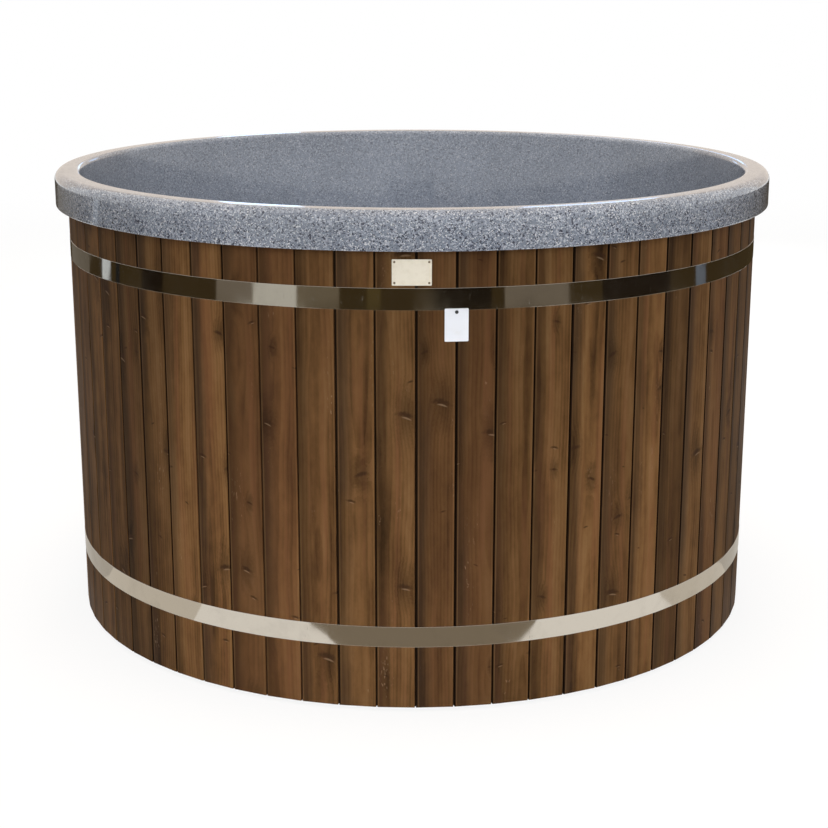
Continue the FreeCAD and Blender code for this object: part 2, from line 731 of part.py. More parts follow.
slot_low = drain_level + ball_radius - slot_depth
tang = stem_radius * 0.4
ball = ball.cut(block(
    ball_x - tang - screw_clear, ball_x + tang + screw_clear, -ball_radius, ball_radius,
    slot_low, drain_level + ball_radius + 1,
))
stem_low = drain_level + ball_radius + 0.4
nut_low = neck_top - 6
nut_top = neck_top + 5
hub_low = nut_top + 2
hub_top = hub_low + lever_thickness
stem = disc(stem_radius, stem_low, hub_top - 0.5, ball_x)
key = block(
    ball_x - tang, ball_x + tang, -stem_radius * 0.9, stem_radius * 0.9,
    slot_low + screw_clear, stem_low + 1,
)
key = key.common(Part.makeSphere(ball_radius + 2, Vec(ball_x, 0, drain_level)))
flat = stem_radius * 0.7
for side in (-1, 1):
    x0 = ball_x + flat if side > 0 else ball_x - stem_radius - 1
    x1 = ball_x + stem_radius + 1 if side > 0 else ball_x - flat
    stem = stem.cut(block(x0, x1, -stem_radius - 1, stem_radius + 1, hub_low, hub_top + 1))
stud = stem_radius * 0.65
stem = stem.fuse(key).fuse(disc(stud, hub_top - 1, hub_top + 9, ball_x)).removeSplitter()
packing = hexagon(30.0, nut_top - nut_low, Vec(ball_x, 0, nut_low), Vec(0, 0, 1))
packing = packing.cut(disc(neck_radius + screw_clear, nut_low - 1, neck_top + running, ball_x))
packing = packing.cut(disc(stem_radius + running, nut_low, nut_top + 1, ball_x))
hub = disc(neck_radius, hub_low, hub_top, ball_x)
half = lever_width / 2
end_y = lever_length - half
arm = block(ball_x - half, ball_x + half, 0, end_y, hub_low, hub_top)
lever = hub.fuse(arm).fuse(disc(half, hub_low, hub_top, ball_x, end_y)).removeSplitter()
top_edges = [e for e in lever.Edges if e.BoundBox.ZMin > hub_top - 0.01 or e.BoundBox.ZMax < hub_low + 0.01]
lever = lever.makeFillet(lever_thickness * 0.25, top_edges)
socket = disc(stem_radius + running, hub_low - 1, hub_top + 1, ball_x)
socket = socket.common(block(
    ball_x - flat - running, ball_x + flat + running, -stem_radius - 1, stem_radius + 1,
    hub_low - 2, hub_top + 2,
))
lever = lever.cut(socket)
lever_nut = hexagon(11.0, 6.0, Vec(ball_x, 0, hub_top), Vec(0, 0, 1))
lever_nut = lever_nut.cut(disc(stud + screw_clear, hub_top - 1, hub_top + 7, ball_x))
nodes["valve_body"] = facing(body, rear)
nodes["valve_end_cap"] = facing(cap, rear)
nodes["valve_seats"] = group(seats)
nodes["valve_ball"] = facing(ball, rear)
nodes["valve_stem"] = facing(stem, rear)
nodes["valve_packing_nut"] = facing(packing, rear)
nodes["valve_lever"] = facing(lever, rear)
nodes["valve_lever_nut"] = facing(lever_nut, rear)

# Heater connections: a flanged fitting clamped to each pad by a locknut, with a grille inside.
collar_face = stave_outer_radius + collar_thickness
spigot_end = collar_face + spigot_length
spigot_bore = spigot_radius - spigot_wall


# A pipe that ends outside the tub in a spigot one hose size across.
def spigot_pipe(start, level):
    pipe = rod(tail_radius, start, collar_face + 1, 0, level)
    pipe = pipe.fuse(rod(spigot_radius, collar_face, spigot_end, 0, level)).removeSplitter()
    tip = [e for e in pipe.Edges if e.BoundBox.XMin > spigot_end - 0.01]
    return pipe.makeChamfer(1.0, tip)


gaskets = []
locknuts = []
collars = []
grilles = []
grille_screws = []
coupling_start = return_out + locknut_length + 3
coupling_end = coupling_start + coupling_length
butt = (coupling_start + coupling_end) / 2
for name, level, inside, outside in (
    ("supply", supply_level, supply_in, supply_out),
    ("return", return_level, return_in, return_out),
):
    face = inside - fitting_gasket - fitting_flange
    fitting = rod(fitting_flange_radius, face, face + fitting_flange, 0, level)
    if name == "supply":
        fitting = fitting.fuse(spigot_pipe(face, level)).removeSplitter()
    else:
        fitting = fitting.fuse(rod(tail_radius, face, butt - loose, 0, level)).removeSplitter()
    fitting = fitting.cut(rod(spigot_bore, face - 1, spigot_end + 1, 0, level))
    ring = tube(fitting_flange_radius - 1, spigot_hole, inside - fitting_gasket, inside, 0, level)
    gaskets.append(facing(ring, rear))
    nut = tube(locknut_radius, tail_radius + screw_clear, outside, outside + locknut_length, 0, level)
    for i in range(8):
        spot = on_circle((0, level), locknut_radius, 45 * i)
        nut = nut.cut(rod(5.0, outside - 1, outside + locknut_length + 1, *spot))
    locknuts.append(facing(nut, rear))
    collar = tube(collar_radius, tail_radius + running, stave_outer_radius, collar_face, 0, level)
    rim = [e for e in collar.Edges if e.BoundBox.XMin > collar_face - 0.01]
    rim = [e for e in rim if e.BoundBox.ZLength > 2 * collar_radius - 1]
    collars.append(facing(collar.makeFillet(collar_thickness * 0.5, rim), rear))
    grille = rod(fitting_flange_radius, face - grille_thickness, face, 0, level)
    rim = [e for e in grille.Edges if e.BoundBox.XMax < face - grille_thickness + 0.01]
    grille = grille.makeFillet(grille_thickness * 0.6, rim)
    for i in range(-2, 3):
        y = i * grille_slot * 1.9
        reach = math.sqrt((spigot_bore - 1) ** 2 - (abs(y) + grille_slot / 2) ** 2)
        grille = grille.cut(block(
            face - grille_thickness - 1, face + 1, y - grille_slot / 2, y + grille_slot / 2,
            level - reach, level + reach,
        ))
    for side in (-1, 1):
        y = side * grille_screw_circle
        hole = rod(2.0 + screw_clear, face - grille_thickness - 5, face + fitting_flange - 0.5, y, level)
        grille = grille.cut(hole)
        fitting = fitting.cut(hole)
        screw = pan_screw(2.0, 3.6, 1.8, 0, grille_thickness + fitting_flange - 1.5, y, level)
        screw.rotate(Vec(0, y, level), Vec(0, 0, 1), 180)
        screw.translate(Vec(face - grille_thickness, 0, 0))
        grille_screws.append(facing(screw, rear))
    grilles.append(facing(grille, rear))
    nodes[name + "_fitting"] = facing(fitting, rear)
nodes["fitting_gaskets"] = group(gaskets)
nodes["fitting_locknuts"] = group(locknuts)
nodes["fitting_grilles"] = group(grilles)
nodes["grille_screws"] = group(grille_screws)
nodes["pipe_collars"] = group(collars)

# Return pipe: joined to the lower fitting by a sleeve, run under the bench and out at the rear.
sleeve_bore = tail_radius + pipe_clear
sleeve = tube(sleeve_bore + spigot_wall, sleeve_bore, coupling_start, coupling_end, 0, return_level)
nodes["return_coupling"] = facing(sleeve, rear)
run = spigot_pipe(butt + loose, return_level)
run = run.cut(rod(spigot_bore, butt, spigot_end + 1, 0, return_level))
nodes["return_pipe"] = facing(run, rear)

for name, shape in nodes.items():
    shape.exportStep("parts/%s.step" % name)
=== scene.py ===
import bmesh
import bpy
import json
import math
import random
from mathutils import Matrix, Vector


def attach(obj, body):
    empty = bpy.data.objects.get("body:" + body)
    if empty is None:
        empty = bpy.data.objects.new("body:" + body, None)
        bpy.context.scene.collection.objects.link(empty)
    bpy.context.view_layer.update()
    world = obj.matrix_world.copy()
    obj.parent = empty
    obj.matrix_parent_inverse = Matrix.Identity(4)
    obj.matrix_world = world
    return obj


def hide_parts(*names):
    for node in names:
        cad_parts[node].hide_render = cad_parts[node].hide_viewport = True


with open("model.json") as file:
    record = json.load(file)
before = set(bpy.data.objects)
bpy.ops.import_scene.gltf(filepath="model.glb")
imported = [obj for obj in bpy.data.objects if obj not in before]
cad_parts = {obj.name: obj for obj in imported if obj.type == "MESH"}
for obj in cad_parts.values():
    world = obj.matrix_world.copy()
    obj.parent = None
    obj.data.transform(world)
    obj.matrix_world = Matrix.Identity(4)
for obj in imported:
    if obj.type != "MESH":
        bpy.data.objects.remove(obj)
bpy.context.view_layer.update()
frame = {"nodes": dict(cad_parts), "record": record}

nodes = frame["nodes"]
slotOf = {part["node"]: part["material_slot"] for part in frame["record"]["subparts"]}
print("frame loaded:", len(nodes), "nodes")

# sizes that several pieces share: metres, and degrees for the corner that stays sharp
tub = dict(staveCount=63, staveRadius=0.869, top=1.128, weld=1e-6, sharp=35.0)
pitch = 2 * math.pi / tub["staveCount"]


# camera fitted to the photograph
cameraPlan = dict(
    lens=74.24, sensor=36.0, shift=2 / 828, distance=4.401, height=1.621, turn=-0.0086, tilt=14.793,
)


def placeCamera(plan):
    data = bpy.data.cameras.new("photoCamera")
    data.lens, data.sensor_width, data.shift_x = plan["lens"], plan["sensor"], plan["shift"]
    camera = bpy.data.objects.new("photoCamera", data)
    away = plan["distance"]
    camera.location = (away * math.sin(plan["turn"]), -away * math.cos(plan["turn"]), plan["height"])
    camera.rotation_euler = (math.pi / 2 - math.radians(plan["tilt"]), 0, plan["turn"])
    bpy.context.scene.collection.objects.link(camera)
    bpy.context.scene.camera = camera


placeCamera(cameraPlan)
bpy.context.scene.view_settings.view_transform = "Standard"


# small helpers for shader trees
def feed(tree, socket, value):
    if isinstance(value, bpy.types.NodeSocket):
        tree.links.new(value, socket)
    else:
        socket.default_value = value


def calc(tree, operation, *values):
    node = tree.nodes.new("ShaderNodeMath")
    node.operation = operation
    for socket, value in zip(node.inputs, values):
        feed(tree, socket, value)
    return node.outputs[0]


def plus(tree, first, second):
    return calc(tree, "ADD", first, second)


def minus(tree, first, second):
    return calc(tree, "SUBTRACT", first, second)


def times(tree, first, second):
    return calc(tree, "MULTIPLY", first, second)


def over(tree, first, second):
    return calc(tree, "DIVIDE", first, second)


def squares(tree, first, second):
    return plus(tree, times(tree, first, first), times(tree, second, second))


def lengthOf(tree, first, second):
    return calc(tree, "SQRT", squares(tree, first, second))


def remap(tree, value, low, high, toLow=0.0, toHigh=1.0, soft=True):
    node = tree.nodes.new("ShaderNodeMapRange")
    node.interpolation_type = "SMOOTHSTEP" if soft else "LINEAR"
    for name, number in (("From Min", low), ("From Max", high), ("To Min", toLow), ("To Max", toHigh)):
        feed(tree, node.inputs[name], number)
    feed(tree, node.inputs["Value"], value)
    return node.outputs["Result"]


def spread(tree, value, toLow, toHigh):  # a number from 0 to 1, in proportion
    return remap(tree, value, 0, 1, toLow, toHigh, False)


def joinAxes(tree, x, y, z):
    node = tree.nodes.new("ShaderNodeCombineXYZ")
    for socket, value in zip(node.inputs, (x, y, z)):
        feed(tree, socket, value)
    return node.outputs[0]


def splitAxes(tree, vector):
    node = tree.nodes.new("ShaderNodeSeparateXYZ")
    feed(tree, node.inputs[0], vector)
    return node.outputs


def splitColour(tree, colour):
    node = tree.nodes.new("ShaderNodeSeparateColor")
    feed(tree, node.inputs[0], colour)
    return node.outputs


def greyOf(tree, value):
    node = tree.nodes.new("ShaderNodeCombineColor")
    for socket in node.inputs:
        feed(tree, socket, value)
    return node.outputs[0]


def noise(tree, vector, scale, detail=2.0, rough=0.5):
    node = tree.nodes.new("ShaderNodeTexNoise")
    feed(tree, node.inputs["Vector"], vector)
    for name, value in (("Scale", scale), ("Detail", detail), ("Roughness", rough)):
        feed(tree, node.inputs[name], value)
    return node.outputs["Fac"]


def grainNoise(tree, plan, across, along, layer):  # plan: scale across, scale along, detail, roughness
    wide, tall, detail, rough = plan
    spot = joinAxes(tree, times(tree, across, wide), layer, times(tree, along, tall))
    return noise(tree, spot, 1.0, detail, rough)


def chanceOf(tree, value):  # one random number from 0 to 1 for each value
    node = tree.nodes.new("ShaderNodeTexWhiteNoise")
    node.noise_dimensions = "1D"
    feed(tree, node.inputs["W"], value)
    return node.outputs["Value"]


def solid(tone):
    return (*tone, 1)


def blend(tree, share, first, second, mode="MIX"):
    node = tree.nodes.new("ShaderNodeMix")
    node.data_type, node.blend_type = "RGBA", mode
    feed(tree, node.inputs[0], share)
    feed(tree, node.inputs[6], first)
    feed(tree, node.inputs[7], second)
    return node.outputs[2]


def ramp(tree, value, stops, mode="LINEAR"):
    node = tree.nodes.new("ShaderNodeValToRGB")
    node.color_ramp.interpolation = mode
    while len(node.color_ramp.elements) < len(stops):
        node.color_ramp.elements.new(0.5)
    for element, (spot, tone) in zip(node.color_ramp.elements, stops):
        element.position, element.color = spot, solid(tone)
    feed(tree, node.inputs[0], value)
    return node.outputs["Color"]


def bump(tree, height, strength, distance):
    node = tree.nodes.new("ShaderNodeBump")
    feed(tree, node.inputs["Height"], height)
    node.inputs["Strength"].default_value = strength
    node.inputs["Distance"].default_value = distance
    return node.outputs["Normal"]


def newGroup(name, inputs, outputs):
    tree = bpy.data.node_groups.new(name, "ShaderNodeTree")
    for label, kind, value in inputs:
        socket = tree.interface.new_socket(label, in_out="INPUT", socket_type="NodeSocket" + kind)
        if value is not None:
            socket.default_value = value
    for label in outputs:
        tree.interface.new_socket(label, in_out="OUTPUT", socket_type="NodeSocketFloat")
    return tree, tree.nodes.new("NodeGroupInput").outputs, tree.nodes.new("NodeGroupOutput").inputs


def placeGroup(tree, group, **values):
    node = tree.nodes.new("ShaderNodeGroup")
    node.node_tree = group
    for name, value in values.items():
        feed(tree, node.inputs[name.replace("_", " ")], value)
    return node.outputs


def newFinish(name, **sockets):
    finish = bpy.data.materials.new(name)
    finish.use_nodes = True
    tree = finish.node_tree
    shader = tree.nodes["Principled BSDF"]
    for label, value in sockets.items():
        shader.inputs[label.replace("_", " ")].default_value = value
    spot = tree.nodes.new("ShaderNodeTexCoord").outputs["Object"]
    return finish, tree, shader.inputs, spot


# Shared effects, built once. The first: a point's place on its board, and the board's own random numbers
boardDraws = dict(Seed=0.5, Seam=200.5, Level=2689.5)


def staveSpotGroup(draws):
    tree, given, put = newGroup(
        "staveSpot", [("Spot", "Vector", None)], ("Across", "Depth", "Along", *draws),
    )
    x, y, z = splitAxes(tree, given["Spot"])
    turns = over(tree, calc(tree, "ARCTAN2", x, times(tree, y, -1.0)), pitch)
    board = calc(tree, "FLOOR", turns)
    lean = times(tree, minus(tree, minus(tree, turns, board), 0.5), pitch)
    reach = lengthOf(tree, x, y)
    feed(tree, put["Across"], times(tree, reach, calc(tree, "SINE", lean)))
    feed(tree, put["Depth"], times(tree, reach, calc(tree, "COSINE", lean)))
    feed(tree, put["Along"], z)
    whole = calc(tree, "FLOORED_MODULO", board, float(tub["staveCount"]))
    for label, shift in draws.items():
        feed(tree, put[label], chanceOf(tree, plus(tree, whole, shift)))
    return tree


# pine figure: growth rings round a pith behind the face, fibres, knots that bend the rings
pinePlan = dict(
    shift=37.0, stagger=2.3,  # move the pattern from seed to seed
    knotCell=(0.075, 0.33), knotSpread=(0.35, 1.15), knotShape=(1.7, 0.55), knotFade=(0.25, 1.30),
    slant=0.5, bow=9.0, wobble=0.9, wobbleScale=160.0, haloShape=(1.15, 2.8), haloFade=(0.2, 2.5),
    tickSide=0.3, tickDrop=0.55, tickTall=0.18, tickFade=(0.2, 1.0), tickFrom=0.55,
    pithSide=0.09, pithDepth=0.82, pithSink=0.05, sinkTurns=7.0,
    driftBend=0.05, shakeBend=0.008, haloBend=0.010, ringRise=(0.15, 0.85), ringFall=(0.88, 1.0),
    streakBend=0.03, streakHalo=0.2, fleckFrom=(0.62, 0.72), wornFrom=(0.64, 0.76), wornShift=9.0,
    # grain noises: scale across, scale along, detail, roughness
    drift=(2.0, 1.1, 2.0, 0.5), shake=(14.0, 6.0, 2.0, 0.5), fibre=(420.0, 7.0, 3.0, 0.6),
    tone=(16.0, 2.2, 3.0, 0.55), streak=(42.0, 1.5, 2.0, 0.45), cloud=(26.0, 10.0, 5.0, 0.68),
    speck=(300.0, 75.0, 2.0, 0.5), wearAndHighlight=(30.0, 3.5, 2.0, 0.5),
)


def pineFigureGroup(plan):
    tree, given, put = newGroup(
        "pineFigure",
        [
            ("Across", "Float", 0.0), ("Depth", "Float", 0.0), ("Along", "Float", 0.0),
            ("Seed", "Float", 0.5), ("Ring Width", "Float", 0.004), ("Knot Size", "Float", 0.010),
            ("Knot Share", "Float", 0.6),
        ],
        ("Ring", "Fibre", "Knot", "Halo", "TickHighlight", "Tone", "Streak", "Cloud", "Fleck"),
    )
    across, depth, along, seed = (given[label] for label in ("Across", "Depth", "Along", "Seed"))
    shift = times(tree, seed, plan["shift"])
    cellWide, cellTall = plan["knotCell"]
    cells = joinAxes(
        tree,
        plus(tree, over(tree, across, cellWide), shift),
        plus(tree, over(tree, along, cellTall), times(tree, shift, plan["stagger"])),
        0.0,
    )
    knots = tree.nodes.new("ShaderNodeTexVoronoi")
    knots.voronoi_dimensions = "2D"
    feed(tree, knots.inputs["Vector"], cells)
    knots.inputs["Scale"].default_value = 1.0
    away = tree.nodes.new("ShaderNodeVectorMath")
    away.operation = "SUBTRACT"
    feed(tree, away.inputs[0], cells)
    feed(tree, away.inputs[1], knots.outputs["Position"])
    offX, offZ = splitAxes(tree, away.outputs[0])[:2]
    offX, offZ = times(tree, offX, cellWide), times(tree, offZ, cellTall)
    chance = splitColour(tree, knots.outputs["Color"])
    there = calc(tree, "LESS_THAN", chance[0], given["Knot Share"])
    size = times(tree, given["Knot Size"], spread(tree, chance[1], *plan["knotSpread"]))
    wobble = noise(tree, joinAxes(tree, offX, offZ, shift), plan["wobbleScale"])
    wobble = minus(tree, wobble, 0.5)

    # the knot's core, a slanted bow
    slant = spread(tree, chance[2], -plan["slant"], plan["slant"])
    long = plus(tree, offX, times(tree, offZ, slant))
    short = minus(tree, offZ, times(tree, offX, slant))
    short = plus(tree, short, times(tree, times(tree, long, long), plan["bow"]))
    wide, tall = plan["knotShape"]
    far = over(tree, lengthOf(tree, over(tree, long, wide), over(tree, short, tall)), size)
    far = plus(tree, far, times(tree, wobble, plan["wobble"]))
    core = times(tree, remap(tree, far, *plan["knotFade"], 1.0, 0.0), there)

    # the dark flame round it, and a pale tick beside the larger ones: a painted highlight, as on the lit
    # lower edge of a dented knot
    wide, tall = plan["haloShape"]
    flame = lengthOf(tree, over(tree, offX, wide), over(tree, offZ, tall))
    flame = plus(tree, over(tree, flame, size), wobble)
    halo = times(tree, remap(tree, flame, *plan["haloFade"], 1.0, 0.0), there)
    tickX = over(tree, minus(tree, long, times(tree, size, plan["tickSide"])), size)
    tickZ = plus(tree, short, times(tree, size, plan["tickDrop"]))
    tickZ = over(tree, tickZ, times(tree, size, plan["tickTall"]))
    tick = times(tree, remap(tree, squares(tree, tickX, tickZ), *plan["tickFade"], 1.0, 0.0), there)
    tick = times(tree, tick, calc(tree, "GREATER_THAN", chance[1], plan["tickFrom"]))

    # growth rings
    drift = grainNoise(tree, plan["drift"], across, along, shift)
    shake = grainNoise(tree, plan["shake"], across, along, shift)
    side = minus(tree, across, times(tree, minus(tree, seed, 0.5), plan["pithSide"]))
    sink = calc(tree, "FRACT", times(tree, seed, plan["sinkTurns"]))
    sink = minus(tree, minus(tree, depth, times(tree, sink, plan["pithSink"])), plan["pithDepth"])
    radius = lengthOf(tree, side, sink)
    for wave, bend in ((drift, "driftBend"), (shake, "shakeBend"), (halo, "haloBend")):
        radius = plus(tree, radius, times(tree, wave, plan[bend]))
    rings = calc(tree, "FRACT", over(tree, radius, given["Ring Width"]))
    late = times(tree, remap(tree, rings, *plan["ringRise"]), remap(tree, rings, *plan["ringFall"], 1.0, 0.0))

    # fibres, tones and pale flecks
    fibre = grainNoise(tree, plan["fibre"], across, along, times(tree, depth, plan["fibre"][0]))
    bent = plus(tree, drift, times(tree, halo, plan["streakHalo"]))
    bent = plus(tree, across, times(tree, bent, plan["streakBend"]))
    specks = grainNoise(tree, plan["speck"], across, along, shift)
    wearAndHighlight = grainNoise(tree, plan["wearAndHighlight"], across, along, plus(tree, shift, plan["wornShift"]))
    made = dict(
        Ring=late, Fibre=fibre, Knot=core, Halo=halo, TickHighlight=tick,
        Tone=grainNoise(tree, plan["tone"], across, along, shift),
        Streak=grainNoise(tree, plan["streak"], bent, along, shift),
        Cloud=grainNoise(tree, plan["cloud"], across, along, shift),
        Fleck=times(tree, remap(tree, specks, *plan["fleckFrom"]), remap(tree, wearAndHighlight, *plan["wornFrom"])),
    )
    for label, value in made.items():
        feed(tree, put[label], value)
    return tree


# handling marks: soft mottling, fine grain and rubbed patches for moulded and metal pieces
handling = dict(
    detail=dict(Grain=2.0, Patch=4.0), rough=0.6, turn=(0.5, 0.3, 0.9), stretch=(30.0, 900.0, 60.0),
    scratchFrom=(0.66, 0.74),
)


def handledGroup(plan):
    tree, given, put = newGroup(
        "handled",
        [("Spot", "Vector", None), ("Grain", "Float", 900.0), ("Patch", "Float", 18.0)],
        ("Grain", "Patch", "Scratch"),
    )
    for label, detail in plan["detail"].items():
        feed(tree, put[label], noise(tree, given["Spot"], given[label], detail, plan["rough"]))
    turned = tree.nodes.new("ShaderNodeMapping")
    turned.inputs["Rotation"].default_value = plan["turn"]
    turned.inputs["Scale"].default_value = plan["stretch"]
    feed(tree, turned.inputs["Vector"], given["Spot"])
    lines = noise(tree, turned.outputs[0], 1.0)
    feed(tree, put["Scratch"], remap(tree, lines, *plan["scratchFrom"]))
    return tree


staveSpot, pineFigure, handled = staveSpotGroup(boardDraws), pineFigureGroup(pinePlan), handledGroup(handling)
middle = (0.3, 0.7)  # the part of a noise's range that most of it lies in
print("shared effects ready")


# speckled moulded shell
speckle = dict(
    dark=(0.036, 0.040, 0.057), mid=(0.157, 0.177, 0.220), pale=(0.291, 0.314, 0.359),
    white=(0.53, 0.535, 0.555), fine=dict(dark=0.0, mid=0.22, pale=0.62, white=0.88),
    coarse=dict(dark=0.0, mid=0.16, pale=0.86), cell=520.0, blotch=270.0, blotchFrom=0.66,
    sway=0.0022, swayScale=420.0, insideLit=(0.240, 0.270, 0.330), inside=0.845, insideFade=0.02, calm=0.5,
    cloud=5.0, shade=(0.92, 1.06), rough=(0.13, 0.20), scratch=0.05, coat=0.7, coatRough=0.05,
    grain=260.0, patch=9.0, bump=(0.08, 0.0006),
)


def speckledShell(plan):
    finish, tree, shader, spot = newFinish(
        "speckledShell", Coat_Weight=plan["coat"], Coat_Roughness=plan["coatRough"],
    )
    sway = tree.nodes.new("ShaderNodeTexNoise")
    feed(tree, sway.inputs["Vector"], spot)
    sway.inputs["Scale"].default_value = plan["swayScale"]
    nudge = tree.nodes.new("ShaderNodeVectorMath")
    nudge.operation = "MULTIPLY_ADD"
    feed(tree, nudge.inputs[0], sway.outputs["Color"])
    nudge.inputs[1].default_value = (plan["sway"],) * 3
    feed(tree, nudge.inputs[2], spot)
    layers = []
    for scale, steps in ((plan["cell"], plan["fine"]), (plan["blotch"], plan["coarse"])):
        cells = tree.nodes.new("ShaderNodeTexVoronoi")
        feed(tree, cells.inputs["Vector"], nudge.outputs[0])
        cells.inputs["Scale"].default_value = scale
        parts = splitColour(tree, cells.outputs["Color"])
        stops = [(step, plan[name]) for name, step in steps.items()]
        layers.append((ramp(tree, parts[0], stops, "CONSTANT"), parts[1]))
    fine, (coarse, pick) = layers[0][0], layers[1]
    mixed = blend(tree, calc(tree, "GREATER_THAN", pick, plan["blotchFrom"]), fine, coarse)
    # calmer inside, where the photograph shows less contrast: the speckle there is blended half toward an
    # even, paler and bluer tone, painted light and sheen on the inner wall
    x, y = splitAxes(tree, spot)[:2]
    edge, fade = plan["inside"], plan["insideFade"]
    inner = remap(tree, lengthOf(tree, x, y), edge - fade, edge + fade, plan["calm"], 0.0)
    mixed = blend(tree, inner, mixed, solid(plan["insideLit"]))
    shade = remap(tree, noise(tree, spot, plan["cloud"], 3.0), *middle, *plan["shade"])
    feed(tree, shader["Base Color"], blend(tree, 1.0, mixed, greyOf(tree, shade), "MULTIPLY"))
    marks = placeGroup(tree, handled, Spot=spot, Grain=plan["grain"], Patch=plan["patch"])
    rough = remap(tree, marks["Patch"], *middle, *plan["rough"])
    feed(tree, shader["Roughness"], plus(tree, rough, times(tree, marks["Scratch"], plan["scratch"])))
    feed(tree, shader["Normal"], bump(tree, marks["Grain"], *plan["bump"]))
    return finish


# dark heat-treated boards; a span is where a mask starts and ends, and its value at either end
boards = dict(
    tones=dict(
        deep=(0.026, 0.0122, 0.0042), brown=(0.063, 0.0302, 0.0105), tan=(0.101, 0.0505, 0.0182),
        pale=(0.138, 0.0755, 0.0315), red=(0.118, 0.050, 0.0215), shadeGrey=(0.056, 0.034, 0.0205),
        knot=(0.012, 0.006, 0.003), heart=(0.040, 0.018, 0.008), tick=(0.21, 0.140, 0.085),
        seam=(0.005, 0.0022, 0.0008),
    ),
    steps=dict(deep=0.36, brown=0.46, tan=0.57, pale=0.73), gloss=0.05, ringWidth=0.0075, halfBoard=0.0421,
    mix=dict(Streak=0.46, Tone=0.24, Cloud=0.32, Fibre=0.10, Ring=-0.06),
    knots=(  # large ones and small ones
        dict(shift=0.0, size=0.0135, share=0.55, cover=0.86),
        dict(shift=0.37, size=0.0068, share=0.72, cover=0.82),
    ),
    tick=0.42, fleck=0.55,
    redStreak=(0.50, 0.72, 0.0, 0.45), redBoard=(0.6, 1.0, 0.0, 0.35), redTurns=13.0,
    greyShadeSide=(-0.038, 0.004, 1.0, 0.0), greyPatch=(0.36, 0.6), greyBoard=(0.10, 0.6),
    level=(0.70, 1.34), leftEdgeShade=(-0.035, -0.006, 0.52, 1.0), leftShadeSway=0.016, halo=(1.0, 0.62),
    joint=(0.0012, 0.0042), jointSide=(-0.02, 0.02, 1.0, 0.35), jointFade=0.0012, jointCover=0.93,
    arris=0.0016, arrisFade=(0.0004, 0.0017, 1.0, 0.0), arrisPatch=(0.34, 0.62, 0.15, 0.7),
    arrisSide=(-0.03, 0.03, 0.6, 0.5), rough=(0.2, 0.8, 0.52, 0.70),
    raised=0.5, ringDip=0.2, knotDip=0.6, bump=(0.35, 0.0008),
)


